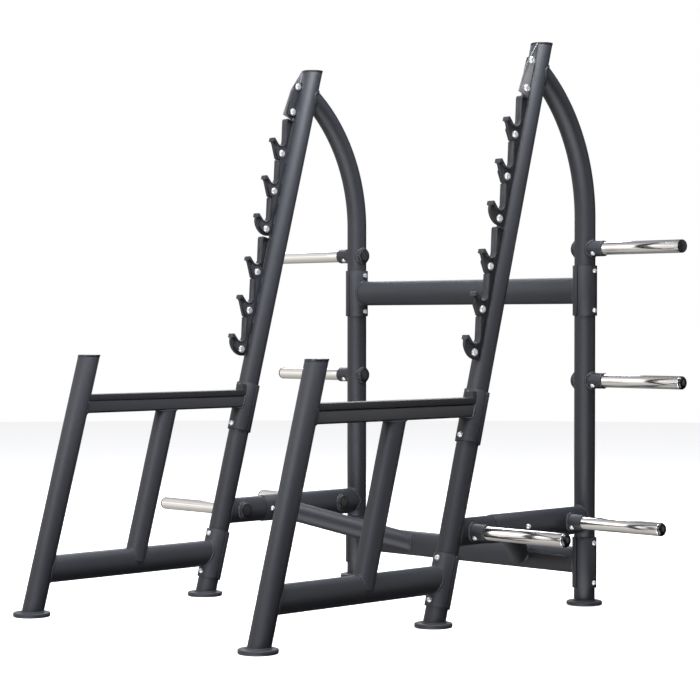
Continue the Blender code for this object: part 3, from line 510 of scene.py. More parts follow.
def button_bolt(radius, height, keyed=True):
    """A washer and a domed head, plain or with a hexagon socket, facing +X from the origin."""
    washer = turned(0, WASHER_T, radius)
    round_edges(washer, 0.0005)
    top = WASHER_T + height
    head = turned(WASHER_T - HEAD_SUNK, top, radius * 0.86)
    saw(head, (WASHER_T - HEAD_SUNK, 0, 0), -SIDEWAYS)
    round_edges(head, height * 0.62, 5)
    if keyed:
        cut(head, turned(WASHER_T + height * 0.45, top + 0.008, radius * 0.42, 6))
    return join(washer, head)


def hex_nut(radius, height):
    """A hexagon nut with turned corners and the bolt's end in it, facing +X from the origin."""
    nut = turned(0, height, radius, 6)
    room = turned(-height * 0.4, height * 1.1, radius * 0.985, 48)
    round_edges(room, height * 0.28)
    cut(nut, room, "INTERSECT")
    end = turned(height * 0.5, height * 1.18, radius * 0.52, 24)
    round_edges(end, 0.0008)
    return join(nut, end)


# Bright zinc plate, with the faint clouding of a plated surface
bright_zinc, place = start_finish("bright_zinc", "brushed_steel", {"Metallic": 1.0})
cloud = place.noise(230.0, 3.0)
feed(bright_zinc, Base_Color=cloud.between((0.62, 0.63, 0.65), (0.86, 0.87, 0.88)),
     Roughness=cloud * 0.16 + 0.34, Normal=cloud.bump(0.0002, 0.15))

clamp_bolt = button_bolt(BOLT_R, BOLT_H)
clamp_nut = hex_nut(NUT_R, NUT_H)
shell = half_shell()
seat = math.sqrt((CLAMP_IN_R + CLAMP_T) ** 2 - BOLT_R ** 2)
shell_solids = {}
for name, (centre, axis, facing) in CLAMPS.items():
    halves = join(placed(shell, centre, facing, axis), placed(shell, centre, -facing, axis))
    shell_solids[name] = halves
    settle_both(halves, name + "_shells", powder_coat, name)
    fixings = []
    for step in (-CLAMP_BOLT_PITCH / 2, CLAMP_BOLT_PITCH / 2):
        middle = centre + axis * step
        fixings.append(placed(clamp_bolt, middle + facing * seat, facing, axis))
        fixings.append(placed(clamp_nut, middle - facing * seat, -facing, axis))
    settle_both(join(*fixings), name + "_bolts", bright_zinc)
for master in (clamp_bolt, clamp_nut, shell):
    bpy.data.objects.remove(master)

# Cross members
# Two lengths of oval steel tube between the rear posts, a crossbar at chest height and a lower
# one near the floor, each welded at both ends to a clamp's inner shell. Powder coated.

OVAL_HALF_W = 0.031
OVAL_HALF_H = 0.046
RAIL_WELD_R = 0.0040


def cross_tube(z, clamp):
    start = Vector((-HALF_SPACING, REAR_Y, z))
    end = post_point(z)
    tube = bar(start, end, OVAL_HALF_W, OVAL_HALF_H, sides=RING)
    joint = weld(clamp, start, end, OVAL_HALF_W, OVAL_HALF_H, RAIL_WELD_R)
    return join(tube, joint, mirrored(joint))


for name, z, clamp in (("upper_crossbar", CROSSBAR_Z, "clamp_post_upper"),
                       ("lower_cross_member", CROSS_MEMBER_Z, "clamp_post_lower")):
    settle(cross_tube(z, shell_solids[clamp]), name + "_tube", powder_coat, [name])

# Lower rails
# Oval tubes along the floor on each side, from the front post, where they are coped and welded,
# back to the lower clamp on the upright. Powder coated.

LOWER_RAIL_Z = 0.152


def lower_rail():
    start = lean_point(FRONT_FLOOR_Y, LOWER_RAIL_Z)
    end = lean_point(UPRIGHT_FLOOR_Y, LOWER_RAIL_Z)
    middle = (start + end) / 2
    tube = bar(start, end, OVAL_HALF_W, OVAL_HALF_H, sides=RING)
    welds = [weld(target, middle, stop, OVAL_HALF_W, OVAL_HALF_H, RAIL_WELD_R) for target, stop in
             ((front_post_tube, start), (shell_solids["clamp_upright_lower"], end))]
    return join(tube, *welds)


lower_rail_tube = lower_rail()
settle_both(lower_rail_tube, "lower_rail_tube", powder_coat, "lower_rail")

# Spotter rails
# Rectangular steel tubes with rounded corners that catch a dropped bar, from the front post to
# the upper clamp on the upright, welded at both ends. Powder coated.

SPOTTER_Z = 0.674
SPOTTER_H = 0.043
SPOTTER_HALF_W = 0.0305
SPOTTER_CORNER = 0.0065
SPOTTER_WELD_R = 0.0034
SQUARENESS = 0.28
REARWARD = Vector((0.0, 1.0, 0.0))


def slab(outline, pull):
    """A flat piece: a face through the outline's points, pulled out along pull."""
    pick()
    bpy.ops.mesh.primitive_circle_add(vertices=len(outline), fill_type="NGON")
    piece = bpy.context.object
    for vertex, point in zip(piece.data.vertices, outline):
        vertex.co = point
    open_all(piece)
    bpy.ops.mesh.extrude_region_move(TRANSFORM_OT_translate={"value": pull})
    face_outwards()
    return piece


def plate(outline, low_x, high_x):
    """A flat piece that stands upright, from its (y, z) outline and its two faces."""
    return slab([(low_x, y, z) for y, z in outline], (high_x - low_x, 0, 0))


def rail_offsets():
    """Offsets from the rail's axis to points round its rectangular outline."""
    offsets = []
    for angle in ALL_ROUND:
        wide, tall = [math.copysign(abs(share) ** SQUARENESS, share)
                      for share in (math.cos(angle), math.sin(angle))]
        offsets.append(SIDEWAYS * (wide * SPOTTER_HALF_W) + UP * (tall * SPOTTER_H / 2))
    return offsets


def spotter_rail():
    low, high = SPOTTER_Z, SPOTTER_Z + SPOTTER_H
    start = lean_point(FRONT_FLOOR_Y, (low + high) / 2)
    end = lean_point(UPRIGHT_FLOOR_Y, (low + high) / 2)
    rail = plate([(start.y, low), (end.y, low), (end.y, high), (start.y, high)],
                 HALF_SPACING - SPOTTER_HALF_W, HALF_SPACING + SPOTTER_HALF_W)
    round_edges(rail, SPOTTER_CORNER, 5)
    middle = (start + end) / 2
    lines = [meeting_line(target, middle, run, rail_offsets()) for target, run in
             ((front_post_tube, -REARWARD), (shell_solids["clamp_upright_upper"], REARWARD))]
    return join(rail, *[bead(line, SPOTTER_WELD_R) for line in lines])


flat_coat = powder_coating("charcoal_coat_on_flats", 0.26)
settle_both(spotter_rail(), "spotter_rail_tube", flat_coat, "spotter_rail")

# Spotter liners
# Strips of dense black plastic on top of the spotter rails that the bar lands on, screwed down
# from below. Each is moulded in one with an upstand that is hollowed to fit against the clamp.

LINER_HALF_W = 0.031
LINER_T = 0.020
STOP_RISE = 0.022
STOP_FRONT = 0.0505
STOP_REAR = 0.032
STOP_FAR_X = -0.004
STOP_FILLET = 0.004
STOP_CORNER = 0.005
LINER_EDGE = 0.0016
SNUG = 0.0003


def arc(centre, radius, first, last, steps):
    """Points round a (y, z) centre, between two angles in degrees up from the rear."""
    angles = [math.radians(first + (last - first) * i / steps) for i in range(steps + 1)]
    return [(centre[0] + radius * math.cos(a), centre[1] + radius * math.sin(a)) for a in angles]


def liner():
    low = SPOTTER_Z + SPOTTER_H + SNUG
    top = low + LINER_T
    stop_top = top + STOP_RISE
    front = lean_point(FRONT_FLOOR_Y, low).y + TUBE_R * 0.5
    axis_y = lean_point(UPRIGHT_FLOOR_Y, top).y
    stop, rear = axis_y - STOP_FRONT, axis_y - STOP_REAR
    fillet = arc((stop - STOP_FILLET, top + STOP_FILLET), STOP_FILLET, 0, -90, 4)
    corner = arc((rear - STOP_CORNER, stop_top - STOP_CORNER), STOP_CORNER, 0, 90, 3)
    strip = plate([(front, low), (rear, low), *corner, (stop, stop_top), *fillet, (front, top)],
                  HALF_SPACING - LINER_HALF_W, HALF_SPACING + LINER_HALF_W)
    clamp_r = CLAMP_IN_R + CLAMP_T + SNUG
    cut(strip, bar(upright_point(0.60), upright_point(0.85), clamp_r, sides=RING))
    round_edges(strip, LINER_EDGE, 3)
    return strip


def trim_stop(strip, centre_x):
    """Cut off the upstand's left part, which is missing on both sides of the rack."""
    top = SPOTTER_Z + SPOTTER_H + LINER_T + 0.0005
    near = lean_point(UPRIGHT_FLOOR_Y, top).y
    outline = [(near - 0.060, top), (near, top), (near, top + 0.03), (near - 0.060, top + 0.03)]
    cut(strip, plate(outline, centre_x - 0.05, centre_x + STOP_FAR_X))


# Dense black plastic, lightly grained, with faint rubbed lines along it
dense_plastic, place = start_finish("liner_plastic", "liner_plastic", {"IOR": 1.48})
grain = place.noise(260.0, 3.0, 0.6)
rubbed = place.stretched((220.0, 5.0, 60.0)).noise(1.0, 2.0)
tone = grain * 0.45 + rubbed * 0.55
feed(dense_plastic, Base_Color=tone.between((0.014, 0.0145, 0.016), (0.027, 0.028, 0.031)),
     Roughness=rubbed * 0.16 + 0.42, Normal=(grain * 0.7 + rubbed * 0.3).bump(0.0004, 0.3))

right_liner = liner()
for strip, side, centre_x in ((right_liner, "_right", HALF_SPACING),
                              (mirrored(right_liner), "_left", -HALF_SPACING)):
    trim_stop(strip, centre_x)
    settle(strip, "spotter_liner_strip" + side, dense_plastic, ["spotter_liner" + side])

# Spotter struts
# Round tubes at the posts' lean that prop the middle of each spotter rail on the lower rail,
# coped below, sawn level above and welded at both ends. Powder coated.

STRUT_FLOOR_Y = -0.3743
HEAD_WELD_R = 0.0032


def strut():
    low = lean_point(STRUT_FLOOR_Y, LOWER_RAIL_Z)
    high = lean_point(STRUT_FLOOR_Y, SPOTTER_Z + 0.02)
    tube = bar(low, high, TUBE_R)
    saw(tube, (0, 0, SPOTTER_Z - SNUG), UP, close=True)
    foot_weld = weld(lower_rail_tube, (low + high) / 2, low, TUBE_R - 0.0045, TUBE_R)
    under_rail = SPOTTER_HALF_W - 0.002
    head_line = []
    for angle in ALL_ROUND:
        across = min(max(TUBE_R * math.cos(angle), -under_rail), under_rail)
        head_line.append(lean_point(STRUT_FLOOR_Y, SPOTTER_Z) + SIDEWAYS * across
                         + REARWARD * (TUBE_R / math.cos(LEAN) * math.sin(angle)))
    return join(tube, foot_weld, bead(head_line, HEAD_WELD_R))


settle_both(strut(), "spotter_strut_tube", powder_coat, "spotter_strut")

# Side rails
# Two oval tubes on each side, one sliding inside the other so that the rear can be set, with
# its seam behind the front horn. Each carries a horn socket, and two bolts lock them together.

SIDE_RAIL_Z = 0.298
SIDE_SEAM_Y = 0.271
SIDE_INSERT = 0.190
SLEEVE_HALF_W = OVAL_HALF_W + 0.0025
SLEEVE_HALF_H = OVAL_HALF_H + 0.0025
SLEEVE_WALL = 0.0022
FRONT_HORN = Vector((HALF_SPACING, 0.160, SIDE_RAIL_Z))
REAR_HORN = Vector((HALF_SPACING, 0.660, SIDE_RAIL_Z))


def front_side_rail():
    start = lean_point(UPRIGHT_FLOOR_Y, SIDE_RAIL_Z)
    end = Vector((HALF_SPACING, SIDE_SEAM_Y + SIDE_INSERT, SIDE_RAIL_Z))
    tube = bar(start, end, OVAL_HALF_W, OVAL_HALF_H, sides=RING)
    joint = weld(upright_tube, end, start, OVAL_HALF_W, OVAL_HALF_H)
    return join(tube, joint, socket(FRONT_HORN), *socket_welds(tube, FRONT_HORN))


def rear_side_rail():
    start = Vector((HALF_SPACING, SIDE_SEAM_Y, SIDE_RAIL_Z))
    end = post_point(SIDE_RAIL_Z)
    sleeve = bar(start, end, SLEEVE_HALF_W, SLEEVE_HALF_H, "NOTHING", RING)
    joints = [weld(rear_post_tube, start, end, SLEEVE_HALF_W, SLEEVE_HALF_H),
              *socket_welds(sleeve, REAR_HORN)]
    hollow(sleeve, SLEEVE_WALL)
    return join(sleeve, socket(REAR_HORN), *joints)


settle_both(front_side_rail(), "side_rail_front_tube", powder_coat, "side_rail_front")
rear_sleeve = rear_side_rail()
settle_both(rear_sleeve, "side_rail_rear_sleeve", powder_coat, "side_rail_rear")

rail_bolt = button_bolt(BOLT_R, BOLT_H)
rail_bolts = []
for y, outward in ((0.298, -SIDEWAYS), (0.430, SIDEWAYS)):
    place = Vector((HALF_SPACING, y, SIDE_RAIL_Z)) + outward * (SLEEVE_HALF_W - 0.0006)
    rail_bolts.append(placed(rail_bolt, place, outward, UP))
settle_both(join(*rail_bolts), "side_rail_bolts", bright_zinc)
bpy.data.objects.remove(rail_bolt)

# Diagonal braces
# Round tubes from the inner face of each side rail to the lower cross member, coped and welded
# at both ends, with a flat gusset plate welded in the corner that each makes. Powder coated.

BRACE_START = Vector((HALF_SPACING, 0.355, SIDE_RAIL_Z))
BRACE_END = Vector((0.2665, REAR_Y, CROSS_MEMBER_Z))
GUSSET_T = 0.006
GUSSET_LAP = 0.004
GUSSET_ON_CROSS = 0.178
GUSSET_ON_BRACE = 0.105
GUSSET_DIP = 0.018
GUSSET_WELD_R = 0.0028
PLATE_EDGE = 0.0007


def brace():
    tube = bar(BRACE_START, BRACE_END, TUBE_R)
    middle = (BRACE_START + BRACE_END) / 2
    member = bpy.data.objects["lower_cross_member_tube"]
    return join(tube, weld(rear_sleeve, middle, BRACE_START, TUBE_R),
                weld(member, middle, BRACE_END, TUBE_R))


def gusset():
    """A plate in the plane of the brace and the cross member, with a hollow free edge."""
    along_brace = (BRACE_START - BRACE_END).normalized()
    normal = along_brace.cross(SIDEWAYS).normalized()
    out_of_brace = normal.cross(along_brace).normalized()
    out_of_brace *= math.copysign(1.0, out_of_brace.x)
    to_front = SIDEWAYS.cross(normal).normalized()
    to_front *= math.copysign(1.0, -to_front.y)
    side_line = BRACE_END + out_of_brace * TUBE_R
    front_line = BRACE_END + to_front * (OVAL_HALF_W / abs(to_front.y))
    share = (front_line - side_line).dot(to_front) / along_brace.dot(to_front)
    corner = side_line + along_brace * share
    on_cross = corner + SIDEWAYS * GUSSET_ON_CROSS
    on_brace = corner + along_brace * GUSSET_ON_BRACE
    inward = (corner - (on_cross + on_brace) / 2).normalized()
    in_cross, in_brace = to_front * GUSSET_LAP, out_of_brace * GUSSET_LAP
    outline = [corner - in_cross - in_brace, on_cross - in_cross, on_cross]
    for step in range(1, 24):
        share = step / 24
        dip = GUSSET_DIP * math.sin(math.pi * share)
        outline.append(on_cross.lerp(on_brace, share) + inward * dip)
    outline += [on_brace, on_brace - in_brace]
    piece = slab([point - normal * (GUSSET_T / 2) for point in outline], normal * GUSSET_T)
    round_edges(piece, PLATE_EDGE, 2, 50)
    welds = []
    for first, last in ((on_brace, corner), (corner, on_cross)):
        for side in (-GUSSET_T / 2, GUSSET_T / 2):
            row = [first.lerp(last, 0.06 + 0.9 * i / 47) + normal * side for i in range(48)]
            welds.append(bead(row, GUSSET_WELD_R, closed=False))
    return join(piece, *welds)


settle_both(brace(), "diagonal_brace_tube", powder_coat, "diagonal_brace")
settle_both(gusset(), "corner_gusset_plate", flat_coat, "corner_gusset")

# Weight horns
# Four chromed steel tubes on each side for storing plates, pushed into the sockets and held by
# a set screw in each, with glossy domed plastic caps in their outer ends.

HORN_END = 0.412
HORN_START = 0.012 - SOCKET_IN
HORN_WALL = 0.004
HORN_EDGE = 0.0012
CAP_DOME = 0.0135
CAP_COLLAR = 0.0030
CAP_SHANK = 0.016
SCREW_OUT = 0.0505
SCREW_SLOPE = math.radians(-40)
PLUG_R = SOCKET_R - 0.0022
HORNS = {"upper": post_point(UPPER_HORN_Z), "lower": post_point(LOWER_HORN_Z),
         "front": FRONT_HORN, "rear": REAR_HORN}


def horn(centre):
    tube = bar(centre + SIDEWAYS * HORN_START, centre + SIDEWAYS * HORN_END, HORN_R,
               ends="NOTHING", sides=RING)
    hollow(tube, HORN_WALL, HORN_EDGE, 3)
    return tube


def pull_out(piece, side, rim, profile):
    """Pull a bar's end face out along X through rings, each a radius and a distance out."""
    pick(piece)
    for face in piece.data.polygons:
        face.select = face.normal.x * side > 0.9
    previous_r = max(vertex.co.z for vertex in piece.data.vertices) - rim.z
    previous_x = 0.0
    bpy.ops.object.mode_set(mode="EDIT")
    bpy.ops.mesh.select_mode(type="FACE")
    for radius, out in profile:
        step = {"value": (side * (out - previous_x), 0, 0)}
        bpy.ops.mesh.extrude_region_move(TRANSFORM_OT_translate=step)
        bpy.ops.transform.resize(value=(1.0, radius / previous_r, radius / previous_r),
                                 center_override=rim + SIDEWAYS * (side * out))
        previous_r, previous_x = radius, out
    bpy.ops.object.mode_set(mode="OBJECT")


def dome_rings(radius, start, height):
    """Rings of a dome from its edge nearly to its crown."""
    return [(radius * math.cos(math.radians(a)), start + height * math.sin(math.radians(a)))
            for a in (12, 24, 36, 48, 60, 70, 79, 86)]


def horn_cap(centre):
    """A shank in the tube and a dome with a narrow rim over the tube's end."""
    shank_r = HORN_R - HORN_WALL - HORN_GAP
    dome_r = HORN_R - 0.0008
    rim = centre + SIDEWAYS * HORN_END
    cap = bar(rim - SIDEWAYS * CAP_SHANK, rim, shank_r)
    collar = [(HORN_R - 0.0002, 0.0003), (HORN_R, 0.0010), (HORN_R, 0.0024), (dome_r, CAP_COLLAR)]
    pull_out(cap, 1, rim, collar + dome_rings(dome_r, CAP_COLLAR, CAP_DOME - CAP_COLLAR))
    return cap


def set_screw(centre):
    """The cup-headed screw through a socket's wall, below its middle and towards the front."""
    screw = button_bolt(0.0090, 0.0034)
    outward = Vector((0.0, -math.cos(SCREW_SLOPE), math.sin(SCREW_SLOPE)))
    place = centre + SIDEWAYS * SCREW_OUT + outward * (SOCKET_R - 0.0014)
    fitted = placed(screw, place, outward, SIDEWAYS)
    bpy.data.objects.remove(screw)
    return fitted


def socket_plug(centre):
    """A plastic plug with a low rounded head that closes a socket's inner end."""
    rim = centre - SIDEWAYS * (SOCKET_IN - 0.0008)
    plug = bar(rim, rim + SIDEWAYS * 0.0095, HORN_R - 0.0002)
    pull_out(plug, -1, rim, [(PLUG_R, 0.0010)] + dome_rings(PLUG_R, 0.0014, 0.0048))
    return plug


# Bright chrome over ground tube: faint lengthwise draw lines, whose lighter and darker colour is
# painted reflection streaks, and a slight clouding
chrome, place = start_finish("chrome", "chrome", {"Metallic": 1.0})
draw_lines_and_painted_streaks = place.stretched((2.0, 420.0, 420.0)).noise(1.0, 3.0, 0.6)
tone = draw_lines_and_painted_streaks * 0.5 + place.noise(14.0) * 0.5
# The lengthwise lines are draw lines in roughness and bump, and painted reflection streaks in the
# base colour
feed(chrome, Base_Color=tone.between((0.78, 0.765, 0.75), (0.93, 0.92, 0.91)),
     Roughness=draw_lines_and_painted_streaks * 0.10 + 0.06, Normal=draw_lines_and_painted_streaks.bump(0.00015, 0.18))

# Glossy black moulded plastic, with the slight waviness of a moulding
gloss_cap, place = start_finish("gloss_cap_plastic", "black_plastic", {"IOR": 1.5})
fine = place.noise(700.0)
feed(gloss_cap, Base_Color=fine.between((0.006, 0.006, 0.007), (0.012, 0.012, 0.013)),
     Roughness=fine * 0.10 + 0.14, Normal=place.noise(60.0).bump(0.0006, 0.25))

plugs, screws = [], []
for name, centre in HORNS.items():
    settle_both(horn(centre), "horn_tube_" + name, chrome, "horn_" + name)
    settle_both(horn_cap(centre), "horn_dome_" + name, gloss_cap, "horn_cap_" + name)
    plugs.append(socket_plug(centre))
    screws.append(set_screw(centre))
settle_both(join(*plugs), "socket_plugs", cap_plastic)
settle_both(join(*screws), "horn_set_screws", bright_zinc)

# Bar hooks
# Two castings on each upright with three hooks each: a web with a wide flange round every seat,
# bolted through flat plates that are welded along the front of the upright. Black coat.

HOOK_PITCH = 0.147
HOOKS = {name: [first - HOOK_PITCH * i for i in range(3)]
         for name, first in (("upper", 1.700), ("lower", 1.240))}
CASTING_LOW_X = HALF_SPACING + 0.0004
CASTING_HIGH_X = CASTING_LOW_X + 0.0252
WEB_LOW_X = HALF_SPACING + 0.0069
WEB_HIGH_X = WEB_LOW_X + 0.011
FLANGE_T = 0.006
SEAT_R = 0.020
SEAT_CENTRE = (-(TUBE_R + 0.0405), 0.024)
WALL_TOP = (-(TUBE_R + 0.0167), 0.0925)
TIP_REAR_Y = -(TUBE_R + 0.073)
TIP_FRONT_Y = TIP_REAR_Y - 0.0095
TIP_TOP = 0.033
UNDER_TIP = 0.0175
STEM = [(-(TUBE_R + 0.080), 0.010), (-(TUBE_R + 0.064), -0.045)]
BELLY_CENTRE = (-(TUBE_R + 0.0265), 0.0115)
BELLY_R = 0.061
CROWN_BACK_Z = 0.1005
CROWN_FRONT = (-(TUBE_R + 0.0045), 0.1083)
CROWN_CORNER_R = 0.0118
CASTING_EDGE = 0.0011
CASTING_GAP = 0.004
PLATE_LOW_X = HALF_SPACING + 0.0006
PLATE_HIGH_X = PLATE_LOW_X + 0.006
PLATE_DEPTH = FLANGE_T + 0.0012
PLATE_WELD_R = 0.0026
PLATE_WELD_PITCH = 0.075
HOOK_BOLT_R = 0.0138
HOOK_BOLT_H = 0.0048
HOOK_BOLT_DROP = 0.0447
HOOK_BOLT_OUT = 0.0315


def beside_hook(along, points):
    """Turn (y, z) points measured from the upright's axis at a hook into places on the rack."""
    origin = upright_point(along)
    return [(origin.y + y, origin.z + z) for y, z in points]


def back_line(z, clear):
    """How far back a hook piece reaches at a height, short of the upright by a clearance."""
    return (-(TUBE_R + clear) + z * math.sin(LEAN)) / math.cos(LEAN)


def ramp_angle():
    """The turn, in degrees, at which the straight ramp to the tip leaves the seat."""
    away_y, away_z = TIP_REAR_Y - SEAT_CENTRE[0], TIP_TOP - SEAT_CENTRE[1]
    return math.degrees(math.atan2(away_z, away_y)
                        + math.acos(SEAT_R / math.hypot(away_y, away_z))) - 360


def seat_curve(depth):
    """The seat from the wall round to the ramp, at a depth below its surface."""
    return arc(SEAT_CENTRE, SEAT_R + depth, 0, ramp_angle(), 14)


def belly_curve(inset):
    """The rounded underside of a casting's last hook."""
    return arc(BELLY_CENTRE, BELLY_R - inset, 190, 270, 14)


def crown_corner(inset):
    """The rounded corner between a casting's sloping top and its first wall."""
    centre = (WALL_TOP[0] + CROWN_CORNER_R, CROWN_FRONT[1] - CROWN_CORNER_R)
    return arc(centre, CROWN_CORNER_R - inset, 90 + math.degrees(LEAN), 180, 6)


def hook_outline(hooks, start, each, below, next_wall, end, skip=0):
    """An outline down the hooks: a start, each hook's points, less a few of the first one's,
    the points below a hook and on the next one's wall, and an end."""
    outline = beside_hook(hooks[0], start + each[skip:])
    for above, along in zip(hooks, hooks[1:]):
        outline += beside_hook(above, below) + beside_hook(along, next_wall + each)
    return outline + beside_hook(hooks[-1], end)


def casting_outline(hooks):
    tip = [(TIP_REAR_Y - 0.0004, TIP_TOP - 0.0008), (TIP_REAR_Y - 0.0012, TIP_TOP),
           (TIP_FRONT_Y + 0.0042, TIP_TOP), (TIP_FRONT_Y + 0.0018, TIP_TOP - 0.0008),
           (TIP_FRONT_Y + 0.0004, TIP_TOP - 0.0030), (TIP_FRONT_Y - 0.0030, UNDER_TIP)]
    crown = (back_line(CROWN_BACK_Z, CASTING_GAP), CROWN_BACK_Z)
    belly = belly_curve(0.0)
    bottom = (back_line(belly[-1][1], CASTING_GAP), belly[-1][1])
    return hook_outline(hooks, [crown, *crown_corner(0.0)], seat_curve(0.0) + tip, STEM, [WALL_TOP],
                        [*belly, bottom])


def pocket_outline(hooks):
    """The recess beside the web, inside the flange round each seat."""
    front = BELLY_CENTRE[0] - BELLY_R - 0.01
    bottom = BELLY_CENTRE[1] - BELLY_R - 0.01
    toe_y, toe_z = seat_curve(FLANGE_T)[-1]
    toe_y += (UNDER_TIP - toe_z) / math.tan(math.radians(ramp_angle() - 90))
    crown = (TUBE_R, CROWN_FRONT[1] - FLANGE_T - (TUBE_R - CROWN_FRONT[0]) * math.tan(LEAN))
    wall = [(front, WALL_TOP[1]), (WALL_TOP[0] + FLANGE_T, WALL_TOP[1])]
    seat = seat_curve(FLANGE_T) + [(toe_y, UNDER_TIP), (front, UNDER_TIP)]
    return hook_outline(hooks, [crown, *crown_corner(FLANGE_T)], seat, [], wall,
                        [(front, bottom), (TUBE_R, bottom)])


def casting(hooks):
    body = plate(casting_outline(hooks), CASTING_LOW_X, CASTING_HIGH_X)
    for low, high in ((CASTING_LOW_X - 0.01, WEB_LOW_X), (WEB_HIGH_X, CASTING_HIGH_X + 0.01)):
        cut(body, plate(pocket_outline(hooks), low, high))
    round_edges(body, CASTING_EDGE, 2, 38)
    return body


def hook_plate(hooks):
    """The flat plate behind a casting, with a line of weld down each side of its back edge."""
    stem = [(STEM[0][0] + 0.008, -0.010), (STEM[1][0] + 0.008, STEM[1][1])]
    wall = [(WALL_TOP[0] + PLATE_DEPTH, WALL_TOP[1] + 0.0012)]
    belly = belly_curve(0.008)[3:]
    bottom = (back_line(belly[-1][1], 0.0), belly[-1][1])
    outline = hook_outline(hooks, [(back_line(-0.016, 0.0), -0.016)], seat_curve(PLATE_DEPTH), stem,
                           wall, [*belly, bottom], skip=6)
    return welded_plate(outline, PLATE_LOW_X, PLATE_HIGH_X, hooks[0] - 0.030, hooks[-1] - 0.050)


def welded_plate(outline, low_x, high_x, weld_top, weld_bottom):
    """A flat plate that stands on the upright, with its welds between two heights along it."""
    body = plate(outline, low_x, high_x)
    round_edges(body, PLATE_EDGE, 2, 50)
    return join(body, *plate_welds(low_x, high_x, weld_top, weld_bottom))


def plate_welds(low, high, first, last):
    """Short runs of weld with gaps, down both sides of a plate that stands on the upright."""
    welds = []
    runs = max(2, round((first - last) / PLATE_WELD_PITCH))
    for number in range(runs):
        top = first + (last - first) * (number + 0.12) / runs
        bottom = first + (last - first) * (number + 0.62) / runs
        for x in (low, high):
            behind = -math.sqrt(TUBE_R ** 2 - (x - HALF_SPACING) ** 2)
            row = [upright_point(top + (bottom - top) * i / 23, behind) for i in range(24)]
            for point in row:
                point.x = x
            welds.append(bead(row, PLATE_WELD_R, closed=False))
    return welds


def hook_fixings(points, outer_x, back_x):
    """Bolts with keyed heads on an outer face, and smooth domed nuts behind."""
    fixings = []
    for keyed, x, facing in ((True, outer_x, SIDEWAYS), (False, back_x, -SIDEWAYS)):
        master = button_bolt(HOOK_BOLT_R, HOOK_BOLT_H, keyed)
        for point in points:
            fixings.append(placed(master, Vector((x, point.y, point.z)), facing, UP))
        bpy.data.objects.remove(master)
    return join(*fixings)


# Black coat over sand-cast iron: a pebbled skin, and streaks where bars have rubbed it, glossier
# there and lighter in colour, the lighter colour a painted sheen
cast_coat, place = start_finish("cast_black_coat", "cast_coat", {"IOR": 1.5})
pebble = place.noise(240.0, 4.0, 0.62)
rubbed = place.stretched((110.0, 110.0, 22.0)).noise(1.0, 3.0, 0.6)
# Rubbed streaks: their lower roughness is the rubbed wear, their lighter base colour is a painted
# sheen
wear_and_painted_sheen = (rubbed - 0.42) * 3.2
tone = pebble * 0.35 + wear_and_painted_sheen * 0.65
feed(cast_coat, Base_Color=tone.between((0.014, 0.015, 0.018), (0.058, 0.061, 0.070)),
     Roughness=0.46 - wear_and_painted_sheen * 0.16 + pebble * 0.08,
     Normal=(pebble * 0.6 + rubbed * 0.4).bump(0.0012, 0.45))

for name, hooks in HOOKS.items():
    settle_both(casting(hooks), "hook_casting_" + name, cast_coat, "hooks_" + name)
    settle_both(hook_plate(hooks), "hook_back_plate_" + name, flat_coat, "hook_plate_" + name)
    points = [upright_point(along - HOOK_BOLT_DROP, -(TUBE_R + HOOK_BOLT_OUT)) for along in hooks]
    fixings = hook_fixings(points, WEB_HIGH_X, PLATE_LOW_X)
    settle_both(fixings, "hook_bolts_" + name, bright_zinc)

# Top guards
# A thin brushed steel plate at the top of each upright that a bar slides down, bolted to a flat
# tab welded on the upright. The tab is powder coated; the plate is bare and bright at its edge.

TAB_LOW_X = HALF_SPACING + 0.005
TAB_HIGH_X = TAB_LOW_X + 0.0085
GUARD_LOW_X = TAB_HIGH_X + 0.0003
GUARD_HIGH_X = GUARD_LOW_X + 0.004
GUARD_EDGE = 0.0006
GUARD_BOLT_OUT = 0.0157
TAB_OUTLINE = [(-0.002, 1.947), (0.0275, 1.9337), (0.0300, 1.9315), (0.0311, 1.9285),
               (0.0355, 1.8170), (0.0343, 1.8118), (0.0306, 1.8080), (0.0255, 1.8067),
               (-0.002, 1.8067)]
GUARD_OUTLINE = [(0.0005, 1.995), (0.002, 1.995), (0.0378, 1.905), (0.0515, 1.8055),
                 (0.0510, 1.8035), (0.0492, 1.8028), (0.0005, 1.7977)]


def before_upright(points):
    """Turn (out, along) points in front of the upright into (y, z) places on the rack."""
    places = [upright_point(along, -(TUBE_R + out)) for out, along in points]
    return [(place.y, place.z) for place in places]


# Bare steel brushed across, a little clouded, in the slightly cool tone of the metal
brushed_steel, place = start_finish("brushed_steel", "brushed_steel", {"Metallic": 1.0})
brushed = place.stretched((30.0, 30.0, 900.0)).noise(1.0, 3.0, 0.65)
tone = brushed * 0.6 + place.noise(35.0) * 0.4
feed(brushed_steel, Base_Color=tone.between((0.25, 0.255, 0.265), (0.46, 0.47, 0.49)),
     Roughness=brushed * 0.18 + 0.26, Normal=brushed.bump(0.0002, 0.3))

tab = welded_plate(before_upright(TAB_OUTLINE), TAB_LOW_X, TAB_HIGH_X, 1.944, 1.810)
settle_both(tab, "guard_tab_plate", flat_coat, "guard_tab")
guard = plate(before_upright(GUARD_OUTLINE), GUARD_LOW_X, GUARD_HIGH_X)
round_edges(guard, GUARD_EDGE, 2, 50)
settle_both(guard, "guard_slide_plate", brushed_steel, "guard_plate")
guard_points = [upright_point(along, -(TUBE_R + GUARD_BOLT_OUT)) for along in (1.9245, 1.8245)]
settle_both(hook_fixings(guard_points, GUARD_HIGH_X, TAB_LOW_X), "guard_bolts", bright_zinc)

# Studio
# A plain pale floor in a white room, lit by a wide soft lamp from the front left and six weaker
# or smaller ones round it, and the camera where the photograph was taken from, a long way off.

